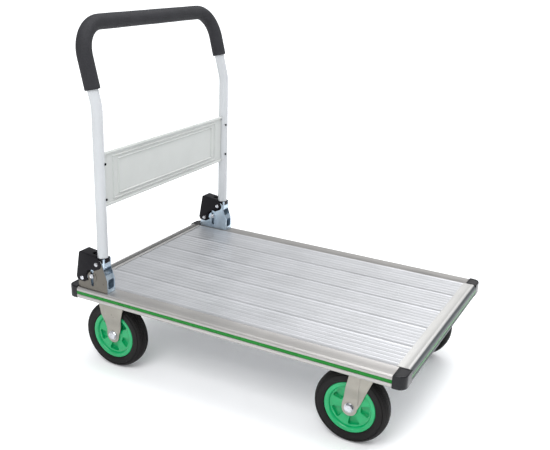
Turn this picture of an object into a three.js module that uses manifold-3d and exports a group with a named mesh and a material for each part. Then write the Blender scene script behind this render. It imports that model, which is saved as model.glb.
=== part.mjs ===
// Folding platform cart: an aluminium plank deck on two fixed and two swivel casters,
// with a loop handle that folds forward over the deck.
// Millimetres, +Z up, +X away from the handle, +Y to the left. Origin on the floor under the deck's centre.
import * as THREE from "three";
import { mergeVertices } from "three/addons/utils/BufferGeometryUtils.js";
import Module from "manifold-3d";

const wasm = await Module();
wasm.setup();

// ---------- driving dimensions ----------

const seam = 0.3; // gap between pieces that touch
const weld = 1; // how far the bodies of one solid run into each other
const clearCut = 10; // how far a cutter runs past what it cuts

// deck
const deckLength = 910;
const deckWidth = 610;
const tyreToDeck = 24.2; // top of the tyres to the planks' underside
const edgeHeight = 32.5;
const sideRailWidth = 44;
const sideRailLip = 14; // width of the deep outer part of the side rail
const endRailReach = 35;
const endRailFlange = 1.5;
const endRailWeb = 8;
const endRailFoot = 29; // width of the end rail's bottom flange
const profileWall = 2;
const edgeRound = 5;
const endEdgeRound = 11.4;
const bottomRound = 6;
const plankCount = 5;
const outerPlankWidth = 99; // the outermost plank on each side; the others share the rest
const plankDepth = 22;
const plankCells = 3;
const plankSkin = 2.8;
const groovePitch = 15.6;
const grooveWidth = 2.2;
const grooveDepth = 0.7;
const flangeSeat = 0.3; // the planks' ends are lowered this much under the end rails' flanges
const stripeHeight = 9.2;
const stripeDrop = 11.6; // deck top to the stripe's upper edge
const stripeDepth = 2;
const capLength = 30;
const capWidth = 44;
const capCornerRadius = 19;
const capBevel = 1.5;
const capProud = 0.5; // how far a corner cap stands over and under the deck edge
const capPlugLength = 22;

// handle
const tubeDiameter = 27;
const tubeWall = 1.5;
const tubeFromEnd = 101; // the deck's rear end to the tubes' axes
const tubeFromSide = 22;
const tubeBottomRise = 17; // heights above the pivot pins
const bendRise = 392.5;
const bendAngle = THREE.MathUtils.degToRad(14);
const bendRadius = 90;
const slantLength = 193.7;
const bendSteps = 2;
const cornerRadius = 75;
const cornerSteps = 5;
const gripThickness = 5.5;
const gripLegNear = 152; // grip on the -Y leg, measured down the slant from the top bar's centreline
const gripLegFar = 126; // and on the +Y leg
const gripBore = 0.3; // clearance between the grip and the tube

// back panel
const panelRise = 144; // above the pivot pins
const panelHeight = 137;
const panelSheet = 1.2;
const panelCurl = 4; // radius of the rolled edges
const panelFrameInset = [13, 22]; // from the panel's long edges
const panelFrameEndInset = [34, 54]; // from its ends
const panelFrameWidth = 3;
const panelFrameHeight = 1.2;
const panelFrameSink = 0.4;
const panelTabWidth = 13;
const panelTabInset = 1; // from the rolled edges to the tabs' ends
const screwInset = [23, 25]; // screw height above the panel's bottom, below its top
const screwOffset = 6.5; // screw axis inboard of the tube's axis
const screwDiameter = 4;
const screwHeadDiameter = 7;
const screwHeadHeight = 1.6;
const screwTail = 2; // what stands out behind the panel's tab

// hinge brackets; every X and Z below is measured from the pivot pin
const pivotBehindTube = 8;
const pivotRise = 73.5; // above the bracket's base
const cheekSideGap = 0.5; // from the tube's side to a cheek
const bracketSheet = 1.8;
const bracketBack = -62;
const bracketFront = 31;
const bracketBackHeight = 14;
const bracketNoseHeight = 34;
const noseTop = -26;
const shoulderStart = [-60, -55.3];
const shoulderEnd = [-23, -39.3];
const cheekNeck = [-13, -10];
const cheekRound = 12.5;
const cheekRoundArc = [60, 171]; // degrees
const cheekTip = [13, 9];
const windowBottom = -63;
const windowTop = -38;
const windowSide = 5; // from the window's edge to the bracket's side
const slotX = -16;
const slotBottom = -63;
const slotTop = -13;
const lockPinDiameter = 8;
const lockPinZ = -34.5;
const lockPinHead = 12;
const lockPinHeadHeight = 3;
const lockPinSlip = 0.25;
const lockHeadStandoff = 1.3;
const springDiameter = 11;
const springWire = 1.4;
const springTurns = 5;
const springStepsPerTurn = 8;

// folding feet, measured from the pivot pin
const footSheet = 1.8;
const footBackTop = [-54, 27];
const footBackBottom = [-66, -44];
const footFrontTop = [-2, 20];
const footFrontRound = 14;
const footFrontArc = [-72, 54]; // degrees
const footHeel = [-62, -53];
const footToe = [-40, -55];
const footNotchRadius = 17;
const footNotchArc = [228.6, 63]; // degrees
const stopPin = [-47, -45];
const pinDiameter = 8;
const pinHead = 11;
const pinHeadHeight = 2.4;
const pinSlip = 0.3;
const camRim = 8.5; // what the socket stands out beyond the tube
const camSide = 0.5; // side play of the socket between the cheeks
const camTipHalfAngle = 0.3;
const spigotLength = 30;
const spigotClearance = 0.9;

// casters
const wheelRadius = 90;
const tyreWidth = 42;
const tyreBeadStep = 2;
const tyreBeadInset = 0.7;
const tyreWallDepth = 12; // tread to the widest part of the wall
const tyreShoulder = [4, 3]; // depth and inset of the shoulder's outer corner
const tyreTreadInset = 10; // wall to the flat of the tread
const rimShare = 0.69667; // the rim's radius as a share of the wheel's
const rimInset = 2.3;
const rimLip = 10.7;
const rimFaceDrop = 4;
const rimPocketCount = 5;
const rimPocketAngle = 0.68;
const rimPocketInner = 26;
const rimPocketMargin = 13.7; // the rim's outside to the pockets
const rimLipSlope = 2;
const rimMidWeb = 6;
const bushRadius = 11;
const axleDiameter = 10;
const axleHead = 17;
const axleHeadHeight = 6;
const axleHeadSides = 6;
const wheelSegments = 24;
const wheelPhases = { rear_right: 21, rear_left: -12, front_right: 3, front_left: -33 }; // degrees
const rodSides = 12;
const discSides = 20;
const bushSides = 16;
const casterFromSide = 64;
const fixedWheelFromEnd = 104.4;
const swivelFromEnd = 107.3;
const swivelTrail = 30;
const plateLength = 110;
const plateWidth = 90;
const plateThickness = 4;
const forkSheet = 3;
const forkSideGap = 3; // tyre side to the upper part of a fork leg
const forkHubGap = 1.3; // rim face to the lower part of a leg, which is set in towards the hub
const forkSetDrop = 2.7; // a leg starts to run in this far below the rim's edge
const forkSetEnd = 20; // and where it is upright again
const fixedForkTop = 92;
const fixedForkWaist = 50;
const fixedForkWaistHeight = 25;
const swivelForkTop = 60;
const swivelForkWaist = 40;
const swivelForkWaistHeight = 8;
const forkEndRadius = 18;
const forkEndDrop = 20; // axle centre down to the leg's lower end
const raceRadius = 32;
const raceHeight = 5;
const crownThickness = 4;
const crownRace = 3.5;
const kingPinRadius = 8;
const kingPinHeadRadius = 12;
const kingPinHeadHeight = 3;
const kingPinSlip = 0.4;

// ---------- values worked out from them ----------

const plankBottom = 2 * wheelRadius + tyreToDeck;
const plankTop = plankBottom + plankDepth;
const deckTop = plankTop + seam + endRailFlange;
const deckBottom = deckTop - edgeHeight;
const plankField = deckWidth - 2 * sideRailWidth;
const innerPlankWidth = (plankField - 2 * outerPlankWidth) / (plankCount - 2);
const plankLength = deckLength - 2 * (endRailWeb + seam);
const stripeTop = deckTop - stripeDrop;
const stripeBottom = stripeTop - stripeHeight;
const sideRailLength = deckLength - 2 * capLength;
const endRailLength = deckWidth - 2 * capWidth;

const tubeRadius = tubeDiameter / 2;
const tubeX = tubeFromEnd - deckLength / 2;
const tubeY = deckWidth / 2 - tubeFromSide;
const bracketBase = plankTop + seam;
const bracketFloor = bracketBase + bracketSheet;
const pivotX = tubeX - pivotBehindTube;
const pivotZ = bracketBase + pivotRise;
const tubeBottom = pivotZ + tubeBottomRise;
const bendHeight = pivotZ + bendRise;
const gripRadius = tubeRadius + gripThickness;
const panelBottom = pivotZ + panelRise;
const panelTop = panelBottom + panelHeight;
const pinRadius = pinDiameter / 2;
const cheekInner = tubeRadius + cheekSideGap; // from the tube's axis to a cheek's inner face
const cheekOuter = cheekInner + bracketSheet;
const footInner = cheekOuter + seam;
const footOuter = footInner + footSheet;
const camRadius = tubeRadius + camRim;
const lockPinRadius = lockPinDiameter / 2;
const camReach = Math.hypot(slotX, lockPinZ) - lockPinRadius - seam;
const camAngle = Math.atan2(lockPinZ, slotX);

const plateTop = plankBottom - seam;
const plateBottom = plateTop - plateThickness;
const rimRadius = wheelRadius * rimShare;
const rimHalf = tyreWidth / 2 - rimInset;
const rimFace = rimHalf - rimFaceDrop;
const legInner = tyreWidth / 2 + forkSideGap;
const legOuter = legInner + forkSheet;
const legLowInner = rimFace + forkHubGap;
const legLowOuter = legLowInner + forkSheet;
const forkSetStart = rimRadius - forkSetDrop; // height above the axle where a leg starts to run in
const axleRadius = axleDiameter / 2;
const casterY = deckWidth / 2 - casterFromSide;
const fixedWheelX = fixedWheelFromEnd - deckLength / 2;
const swivelX = deckLength / 2 - swivelFromEnd;
const crownTop = plateBottom - raceHeight - seam;
const crownBottom = crownTop - crownRace - crownThickness;

// ---------- helpers ----------

const materials = {
  aluminium: { color: 0xc4c8cd, roughness: 0.36, metalness: 0.9 },
  stripe: { color: 0x0f9a3c, roughness: 0.4, metalness: 0 },
  blackPlastic: { color: 0x17181a, roughness: 0.5, metalness: 0 },
  whitePaint: { color: 0xe9ecef, roughness: 0.35, metalness: 0.1 },
  foam: { color: 0x26272b, roughness: 0.85, metalness: 0 },
  greyPaint: { color: 0xc2c4bf, roughness: 0.45, metalness: 0.1 },
  zinc: { color: 0xaebac2, roughness: 0.3, metalness: 0.95 },
  blackPaint: { color: 0x1c1b1f, roughness: 0.45, metalness: 0.2 },
  steel: { color: 0xb8babb, roughness: 0.3, metalness: 0.9 },
  forkPaint: { color: 0xb9b4aa, roughness: 0.45, metalness: 0.4 },
  rimGreen: { color: 0x2fbf71, roughness: 0.4, metalness: 0 },
  rubber: { color: 0x1b1717, roughness: 0.75, metalness: 0 },
  nylon: { color: 0xd8d8d0, roughness: 0.5, metalness: 0 },
};

const cart = new THREE.Group();

function geometryToSolid(geometry) {
  const bare = geometry.clone();
  bare.deleteAttribute("normal");
  bare.deleteAttribute("uv");
  const merged = mergeVertices(bare, 1e-4);
  const vertProperties = new Float32Array(merged.attributes.position.array);
  const triVerts = new Uint32Array(merged.index.array);
  return new wasm.Manifold(new wasm.Mesh({ numProp: 3, vertProperties, triVerts }));
}

function solidToGeometry(solid) {
  const mesh = solid.getMesh();
  const geometry = new THREE.BufferGeometry();
  geometry.setAttribute("position", new THREE.BufferAttribute(mesh.vertProperties, 3));
  geometry.setIndex(new THREE.BufferAttribute(mesh.triVerts, 1));
  const flat = geometry.toNonIndexed();
  flat.computeVertexNormals();
  return flat;
}

function addPart(name, solid, material, parent = cart) {
  const mesh = new THREE.Mesh(solidToGeometry(solid), new THREE.MeshStandardMaterial(materials[material]));
  mesh.name = name;
  parent.add(mesh);
}

function moved(geometry, x, y, z) {
  return geometryToSolid(geometry.translate(x, y, z));
}

function box(xRange, yRange, zRange) {
  const size = [xRange, yRange, zRange].map(([low, high]) => high - low);
  const middle = [xRange, yRange, zRange].map(([low, high]) => (low + high) / 2);
  return moved(new THREE.BoxGeometry(...size), ...middle);
}

// A shape drawn in X and Z, extruded along Y.
function prismY(shape, yLow, yHigh) {
  const settings = { depth: yHigh - yLow, bevelEnabled: false, curveSegments: 5 };
  const geometry = new THREE.ExtrudeGeometry(shape, settings);
  geometry.rotateX(Math.PI / 2);
  return moved(geometry, 0, yHigh, 0);
}

// A shape drawn in Y and Z, extruded along X.
function prismX(shape, xLow, xHigh) {
  const settings = { depth: xHigh - xLow, bevelEnabled: false, curveSegments: 4 };
  const geometry = new THREE.ExtrudeGeometry(shape, settings);
  const turn = new THREE.Matrix4();
  turn.makeBasis(new THREE.Vector3(0, 1, 0), new THREE.Vector3(0, 0, 1), new THREE.Vector3(1, 0, 0));
  geometry.applyMatrix4(turn);
  return moved(geometry, xLow, 0, 0);
}

// A cylinder along Y between two values of Y.
function rodY(radius, yLow, yHigh, x, z, sides = rodSides) {
  const geometry = new THREE.CylinderGeometry(radius, radius, yHigh - yLow, sides);
  return moved(geometry, x, (yLow + yHigh) / 2, z);
}

// A cylinder along Z between two values of Z.
function rodZ(radius, zLow, zHigh, x, y, sides = discSides) {
  const geometry = new THREE.CylinderGeometry(radius, radius, zHigh - zLow, sides);
  geometry.rotateX(Math.PI / 2);
  return moved(geometry, x, y, (zLow + zHigh) / 2);
}

function polygon(points) {
  return new THREE.Shape(points.map(([a, b]) => new THREE.Vector2(a, b)));
}

function fromPivot([x, z]) {
  return [pivotX + x, pivotZ + z];
}

function arcAround(shape, [x, z], radius, [startDegrees, endDegrees]) {
  const start = THREE.MathUtils.degToRad(startDegrees);
  const end = THREE.MathUtils.degToRad(endDegrees);
  shape.absarc(x, z, radius, start, end, end < start);
}

// A cutter that runs the deck's whole length.
function throughX(yRange, zRange) {
  return box([-deckLength, deckLength], yRange, zRange);
}

const sideNames = [
  ["right", -1],
  ["left", 1],
];
const endNames = [
  ["rear", -1],
  ["front", 1],
];

function mirrored(solid, axis) {
  return solid.mirror(axis);
}

function onSide(solid, side) {
  return side < 0 ? solid : mirrored(solid, [0, 1, 0]);
}

// ---------- deck ----------

// Each plank's two edges, from the right side of the deck to the left.
function plankEdges() {
  const edges = [];
  let start = -plankField / 2;
  for (let i = 0; i < plankCount; i++) {
    const width = i === 0 || i === plankCount - 1 ? outerPlankWidth : innerPlankWidth;
    edges.push([start + seam / 2, start + width - seam / 2]);
    start += width;
  }
  return edges;
}

function plankShape([right, left]) {
  const grooves = Math.round((left - right) / groovePitch);
  const step = (left - right) / grooves;
  const shape = new THREE.Shape();
  shape.moveTo(left, plankBottom);
  shape.lineTo(left, plankTop);
  for (let i = grooves - 1; i > 0; i--) {
    const y = right + i * step;
    shape.lineTo(y + grooveWidth / 2, plankTop);
    shape.lineTo(y, plankTop - grooveDepth);
    shape.lineTo(y - grooveWidth / 2, plankTop);
  }
  shape.lineTo(right, plankTop);
  shape.lineTo(right, plankBottom);
  return shape;
}

// The hollow cells that run through a plank from end to end.
function plankHollows([right, left]) {
  const cellPitch = (left - right - profileWall) / plankCells;
  const cellHeight = [plankBottom + profileWall, plankTop - plankSkin];
  const cells = [];
  for (let i = 0; i < plankCells; i++) {
    const start = right + profileWall + i * cellPitch;
    cells.push(throughX([start, start + cellPitch - profileWall], cellHeight));
  }
  return wasm.Manifold.union(cells);
}

// The steps that lower a plank's ends under the end rails' flanges.
function flangeSteps([right, left]) {
  const start = deckLength / 2 - endRailReach - seam;
  const zRange = [plankTop - flangeSeat, plankTop + clearCut];
  const front = box([start, deckLength], [right - weld, left + weld], zRange);
  return front.add(mirrored(front, [1, 0, 0]));
}

function addPlanks() {
  plankEdges().forEach((edges, i) => {
    const outline = prismX(plankShape(edges), -plankLength / 2, plankLength / 2);
    const plank = outline.subtract(plankHollows(edges)).subtract(flangeSteps(edges));
    addPart(`deck_plank_${i + 1}`, plank, "aluminium");
  });
}

// The side rail's section, with Y measured outward from the deck's centre.
function sideRailShape() {
  const outer = deckWidth / 2;
  const inner = outer - sideRailWidth + seam;
  const lip = outer - sideRailLip;
  const shape = new THREE.Shape();
  shape.moveTo(inner, plankBottom);
  shape.lineTo(lip, plankBottom);
  shape.lineTo(lip, deckBottom);
  shape.lineTo(outer - bottomRound, deckBottom);
  shape.absarc(outer - bottomRound, deckBottom + bottomRound, bottomRound, -Math.PI / 2, 0, false);
  shape.lineTo(outer, stripeBottom);
  shape.lineTo(outer - stripeDepth, stripeBottom);
  shape.lineTo(outer - stripeDepth, stripeTop);
  shape.lineTo(outer, stripeTop);
  shape.absarc(outer - edgeRound, plankTop - edgeRound, edgeRound, 0, Math.PI / 2, false);
  shape.lineTo(inner, plankTop);
  return shape;
}

function sideRailInnerCell() {
  const outer = deckWidth / 2;
  return [outer - sideRailWidth + seam + profileWall, outer - sideRailLip - profileWall];
}

function sideRailOuterCell() {
  const outer = deckWidth / 2;
  return [outer - sideRailLip + profileWall, outer - stripeDepth - profileWall];
}

// The end rail's section, with X measured outward from the deck's centre.
function endRailShape() {
  const outer = deckLength / 2;
  const inner = outer - endRailReach;
  const web = outer - endRailWeb;
  const foot = outer - endRailFoot;
  const shape = new THREE.Shape();
  shape.moveTo(inner, deckTop - endRailFlange);
  shape.lineTo(web, deckTop - endRailFlange);
  shape.lineTo(web, deckBottom + profileWall);
  shape.lineTo(foot, deckBottom + profileWall);
  shape.lineTo(foot, deckBottom);
  shape.lineTo(outer - bottomRound, deckBottom);
  shape.absarc(outer - bottomRound, deckBottom + bottomRound, bottomRound, -Math.PI / 2, 0, false);
  shape.lineTo(outer, stripeBottom);
  shape.lineTo(outer - stripeDepth, stripeBottom);
  shape.lineTo(outer - stripeDepth, stripeTop);
  shape.lineTo(outer, stripeTop);
  shape.absarc(outer - endEdgeRound, deckTop - endEdgeRound, endEdgeRound, 0, Math.PI / 2, false);
  shape.lineTo(inner, deckTop);
  return shape;
}

function addRails() {
  let sideRail = prismX(sideRailShape(), -sideRailLength / 2, sideRailLength / 2);
  const innerCellHeight = [plankBottom + profileWall, plankTop - profileWall];
  const outerCellHeight = [deckBottom + profileWall, plankTop - edgeRound];
  sideRail = sideRail.subtract(throughX(sideRailInnerCell(), innerCellHeight));
  sideRail = sideRail.subtract(throughX(sideRailOuterCell(), outerCellHeight));
  const outerY = deckWidth / 2;
  const sideStripe = box(
    [-sideRailLength / 2, sideRailLength / 2],
    [outerY - stripeDepth + seam, outerY],
    [stripeBottom + seam, stripeTop - seam],
  );
  for (const [name, side] of sideNames) {
    addPart(`side_rail_${name}`, onSide(sideRail, -side), "aluminium");
    addPart(`side_stripe_${name}`, onSide(sideStripe, -side), "stripe");
  }
  const endHalf = endRailLength / 2;
  const endRail = prismY(endRailShape(), -endHalf, endHalf);
  const outerX = deckLength / 2;
  const endStripe = box(
    [outerX - stripeDepth + seam, outerX],
    [-endHalf, endHalf],
    [stripeBottom + seam, stripeTop - seam],
  );
  for (const [name, end] of endNames) {
    const turn = (solid) => (end > 0 ? solid : mirrored(solid, [1, 0, 0]));
    addPart(`end_rail_${name}`, turn(endRail), "aluminium");
    addPart(`end_stripe_${name}`, turn(endStripe), "stripe");
  }
}

// A corner cap with the plug that sits in the side rail's inner cell.
function cornerCap() {
  const x0 = deckLength / 2 - capLength + seam + capBevel;
  const x1 = deckLength / 2 - capBevel;
  const y0 = deckWidth / 2 - capWidth + seam + capBevel;
  const y1 = deckWidth / 2 - capBevel;
  const corner = capCornerRadius - capBevel;
  const shape = new THREE.Shape();
  shape.moveTo(x0, y0);
  shape.lineTo(x1, y0);
  shape.absarc(x1 - corner, y1 - corner, corner, 0, Math.PI / 2, false);
  shape.lineTo(x0, y1);
  const low = deckBottom - capProud;
  const high = deckTop + capProud;
  const geometry = new THREE.ExtrudeGeometry(shape, {
    depth: high - low - 2 * capBevel,
    bevelThickness: capBevel,
    bevelSize: capBevel,
    bevelSegments: 1,
    curveSegments: 6,
  });
  const block = moved(geometry, 0, 0, low + capBevel);
  const [cellIn, cellOut] = sideRailInnerCell();
  const plugStart = sideRailLength / 2 - capPlugLength;
  const plug = box(
    [plugStart, sideRailLength / 2 + capBevel + weld],
    [Math.max(cellIn, y0) + seam, cellOut - seam],
    [plankBottom + profileWall + seam, plankTop - profileWall - seam],
  );
  return block.add(plug);
}

function addCaps() {
  const cap = cornerCap();
  for (const [endName, end] of endNames) {
    const turned = end > 0 ? cap : mirrored(cap, [1, 0, 0]);
    for (const [sideName, side] of sideNames) {
      addPart(`corner_cap_${endName}_${sideName}`, onSide(turned, -side), "blackPlastic");
    }
  }
}

// ---------- handle ----------

// A path given by stations, each a point and a direction, so that straight stretches need no steps.
class StationPath extends THREE.Curve {
  constructor(stations) {
    super();
    this.stations = stations;
  }

  stationAt(u) {
    return this.stations[Math.round(u * (this.stations.length - 1))];
  }

  getPointAt(u, target = new THREE.Vector3()) {
    return target.copy(this.stationAt(u).point);
  }

  getTangentAt(u, target = new THREE.Vector3()) {
    return target.copy(this.stationAt(u).direction);
  }
}

// Stations on an arc from one direction to another, starting at a point.
function arcStations(start, from, to, radius, steps) {
  const angle = from.angleTo(to);
  const normal = to.clone().addScaledVector(from, -Math.cos(angle)).normalize();
  const stations = [];
  for (let i = 0; i <= steps; i++) {
    const a = (angle * i) / steps;
    const point = start.clone();
    point.addScaledVector(from, radius * Math.sin(a));
    point.addScaledVector(normal, radius * (1 - Math.cos(a)));
    const direction = from.clone().multiplyScalar(Math.cos(a)).addScaledVector(normal, Math.sin(a));
    stations.push({ point, direction });
  }
  return stations;
}

const upward = new THREE.Vector3(0, 0, 1);
const slant = new THREE.Vector3(-Math.sin(bendAngle), 0, Math.cos(bendAngle));
const across = new THREE.Vector3(0, 1, 0);
const topBarCentre = new THREE.Vector3(tubeX, 0, bendHeight).addScaledVector(slant, slantLength);

// Half of the handle's centreline, on the -Y side, from a lower station up to the top bar's corner.
function upperCorner() {
  const start = topBarCentre.clone().addScaledVector(slant, -cornerRadius);
  start.y = -tubeY;
  return arcStations(start, slant, across, cornerRadius, cornerSteps);
}

function lowerBend() {
  const reach = bendRadius * Math.tan(bendAngle / 2);
  const start = new THREE.Vector3(tubeX, -tubeY, bendHeight - reach);
  return arcStations(start, upward, slant, bendRadius, bendSteps);
}

function legPoint(distanceDown) {
  const point = topBarCentre.clone().addScaledVector(slant, -distanceDown);
  point.y = -tubeY;
  return { point, direction: slant.clone() };
}

// The same stations on the +Y side, in reverse order, so that the path runs on down the other leg.
function otherSide(stations) {
  const back = stations.map(({ point, direction }) => ({
    point: new THREE.Vector3(point.x, -point.y, point.z),
    direction: new THREE.Vector3(-direction.x, direction.y, -direction.z),
  }));
  return back.reverse();
}

function ringShape(outerRadius, innerRadius, sides) {
  const shape = new THREE.Shape();
  const bore = new THREE.Path();
  for (let i = 0; i < sides; i++) {
    const a = (2 * Math.PI * i) / sides;
    const outer = [outerRadius * Math.cos(a), outerRadius * Math.sin(a)];
    const inner = [innerRadius * Math.cos(-a), innerRadius * Math.sin(-a)];
    if (i === 0) {
      shape.moveTo(...outer);
      bore.moveTo(...inner);
    } else {
      shape.lineTo(...outer);
      bore.lineTo(...inner);
    }
  }
  shape.holes.push(bore);
  return shape;
}

function sweep(stations, outerRadius, innerRadius, sides = rodSides) {
  const extrudePath = new StationPath(stations);
  const steps = stations.length - 1;
  const shape = ringShape(outerRadius, innerRadius, sides);
  return geometryToSolid(new THREE.ExtrudeGeometry(shape, { steps, extrudePath, bevelEnabled: false }));
}

function addHandleTube() {
  const foot = { point: new THREE.Vector3(tubeX, -tubeY, tubeBottom), direction: upward.clone() };
  const half = [foot, ...lowerBend(), ...upperCorner()];
  const holes = screwHoles();
  const tube = sweep([...half, ...otherSide(half)], tubeRadius, tubeRadius - tubeWall);
  addPart("handle_tube", tube.subtract(holes), "whitePaint");
}

function addGrip() {
  const nearHalf = [legPoint(gripLegNear), ...upperCorner()];
  const farHalf = otherSide([legPoint(gripLegFar), ...upperCorner()]);
  const grip = sweep([...nearHalf, ...farHalf], gripRadius, tubeRadius + gripBore);
  addPart("foam_grip", grip, "foam");
}

const screwHeights = [panelBottom + screwInset[0], panelTop - screwInset[1]];

// A rod along X at each panel screw's place.
function screwRod(radius, xLow, xHigh, side, z) {
  const geometry = new THREE.CylinderGeometry(radius, radius, xHigh - xLow, rodSides);
  geometry.rotateZ(Math.PI / 2);
  return moved(geometry, (xLow + xHigh) / 2, side * (tubeY - screwOffset), z);
}

const tabBack = tubeX - tubeRadius - seam - panelSheet;
const screwBack = tabBack - screwTail;

function screwHoles() {
  const rods = [];
  for (const [, side] of sideNames) {
    for (const z of screwHeights) {
      rods.push(screwRod(screwDiameter / 2 + seam, screwBack - weld, tubeX + tubeDiameter, side, z));
    }
  }
  return wasm.Manifold.union(rods);
}

function addPanelScrews() {
  const chord = Math.sqrt(tubeRadius ** 2 - (screwOffset - screwHeadDiameter / 2) ** 2);
  const headStart = tubeX + chord + seam;
  for (const [sideName, side] of sideNames) {
    screwHeights.forEach((z, i) => {
      const shank = screwRod(screwDiameter / 2, screwBack, headStart + weld, side, z);
      const head = screwRod(screwHeadDiameter / 2, headStart, headStart + screwHeadHeight, side, z);
      const level = i === 0 ? "lower" : "upper";
      addPart(`panel_screw_${level}_${sideName}`, shank.add(head), "steel");
    });
  }
}

function panelFrame(inset, endInset) {
  const half = tubeY - tubeRadius - seam - endInset;
  const front = tubeX + panelSheet / 2;
  const depth = [front - panelFrameSink, front + panelFrameHeight];
  const outer = box(depth, [-half, half], [panelBottom + inset, panelTop - inset]);
  const inner = box(
    [depth[0] - weld, depth[1] + weld],
    [-half + panelFrameWidth, half - panelFrameWidth],
    [panelBottom + inset + panelFrameWidth, panelTop - inset - panelFrameWidth],
  );
  return outer.subtract(inner);
}

// The sheet with its rolled edges, its two pressed frames and the end tabs behind the tubes.
function addPanel() {
  const half = tubeY - tubeRadius - seam;
  const sheetX = [tubeX - panelSheet / 2, tubeX + panelSheet / 2];
  let panel = box(sheetX, [-half, half], [panelBottom + panelCurl, panelTop - panelCurl]);
  for (const z of [panelBottom + panelCurl, panelTop - panelCurl]) {
    panel = panel.add(rodY(panelCurl, -half, half, tubeX, z));
  }
  panelFrameInset.forEach((inset, i) => {
    panel = panel.add(panelFrame(inset, panelFrameEndInset[i]));
  });
  const tabEnd = 2 * panelCurl + panelTabInset;
  const tabHeight = [panelBottom + tabEnd, panelTop - tabEnd];
  for (const [, side] of sideNames) {
    const returnWall = box([tabBack, sheetX[1]], [-half, -half + panelSheet], tabHeight);
    const tab = box([tabBack, tabBack + panelSheet], [-half - panelTabWidth, -half + panelSheet], tabHeight);
    panel = panel.add(onSide(returnWall.add(tab), side));
  }
  addPart("back_panel", panel.subtract(screwHoles()), "greyPaint");
}

// ---------- hinge brackets, feet and locks ----------

function cheekShape() {
  const base = -pivotRise;
  const shape = new THREE.Shape();
  shape.moveTo(...fromPivot([bracketBack, base]));
  shape.lineTo(...fromPivot([bracketFront, base]));
  shape.lineTo(...fromPivot([bracketFront, base + bracketNoseHeight]));
  shape.lineTo(...fromPivot(cheekTip));
  arcAround(shape, fromPivot([0, 0]), cheekRound, cheekRoundArc);
  shape.lineTo(...fromPivot(cheekNeck));
  shape.lineTo(...fromPivot(shoulderEnd));
  shape.lineTo(...fromPivot(shoulderStart));
  shape.lineTo(...fromPivot([bracketBack, base + bracketBackHeight]));
  return shape;
}

// The room between the cheeks: it leaves the floor and the nose, which ends below the folded tube.
function bracketRoom() {
  const noseBend = bracketNoseHeight - pivotRise;
  const floor = bracketSheet - pivotRise;
  const run = (cheekTip[0] - bracketFront) / (cheekTip[1] - noseBend);
  const noseInside = (z) => bracketFront + Math.max(0, z - noseBend) * run - bracketSheet;
  const back = bracketBack - clearCut;
  const front = bracketFront + clearCut;
  const roof = cheekRound + clearCut;
  const corners = [
    [back, floor],
    [noseInside(floor), floor],
    [noseInside(noseBend), noseBend],
    [noseInside(noseTop), noseTop],
    [front, noseTop],
    [front, roof],
    [back, roof],
  ];
  return polygon(corners.map(fromPivot));
}

function slotCut(reach) {
  const r = lockPinRadius + lockPinSlip;
  const shape = new THREE.Shape();
  shape.moveTo(...fromPivot([slotX + r, slotBottom + r]));
  arcAround(shape, fromPivot([slotX, slotTop - r]), r, [0, 180]);
  arcAround(shape, fromPivot([slotX, slotBottom + r]), r, [180, 360]);
  return prismY(shape, -tubeY - reach, -tubeY + reach);
}

// A bore along Y right through the hinge, at a place measured from the pivot pin.
function hingeBore(place) {
  const reach = footOuter + clearCut;
  return rodY(pinRadius + pinSlip, -tubeY - reach, -tubeY + reach, ...fromPivot(place));
}

function hingeBracket() {
  let bracket = prismY(cheekShape(), -tubeY - cheekOuter, -tubeY + cheekOuter);
  bracket = bracket.subtract(prismY(bracketRoom(), -tubeY - cheekInner, -tubeY + cheekInner));
  bracket = bracket.subtract(slotCut(cheekOuter + clearCut));
  bracket = bracket.subtract(hingeBore([0, 0]));
  const windowHalf = cheekOuter - windowSide;
  const noseX = pivotX + bracketFront;
  const windowCut = box(
    [noseX - clearCut, noseX + clearCut],
    [-tubeY - windowHalf, -tubeY + windowHalf],
    [pivotZ + windowBottom, pivotZ + windowTop],
  );
  return bracket.subtract(windowCut);
}

function footShape() {
  const shape = new THREE.Shape();
  shape.moveTo(...fromPivot(footBackTop));
  shape.lineTo(...fromPivot(footBackBottom));
  shape.lineTo(...fromPivot(footHeel));
  shape.lineTo(...fromPivot(footToe));
  arcAround(shape, fromPivot([slotX, lockPinZ]), footNotchRadius, footNotchArc);
  arcAround(shape, fromPivot([0, 0]), footFrontRound, footFrontArc);
  shape.lineTo(...fromPivot(footFrontTop));
  return shape;
}

// The room inside the foot's channel, open in front and below.
function footRoom() {
  const below = footToe[1] - clearCut;
  const front = footFrontRound + clearCut;
  const corners = [
    [footBackTop[0] + footSheet, footBackTop[1] - footSheet],
    [footBackBottom[0] + footSheet, footBackBottom[1]],
    [footBackBottom[0] + footSheet, below],
    [front, below],
    [front, footFrontTop[1] - footSheet],
    [footFrontTop[0], footFrontTop[1] - footSheet],
  ];
  return polygon(corners.map(fromPivot));
}

function foldingFoot() {
  let foot = prismY(footShape(), -tubeY - footOuter, -tubeY + footOuter);
  foot = foot.subtract(prismY(footRoom(), -tubeY - footInner, -tubeY + footInner));
  foot = foot.subtract(hingeBore([0, 0]));
  foot = foot.subtract(hingeBore(stopPin));
  const roomTop = pivotZ + footBackTop[1] + clearCut;
  const tubeRoom = rodZ(tubeRadius + 2 * seam, tubeBottom, roomTop, tubeX, -tubeY);
  return foot.subtract(tubeRoom);
}

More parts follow.
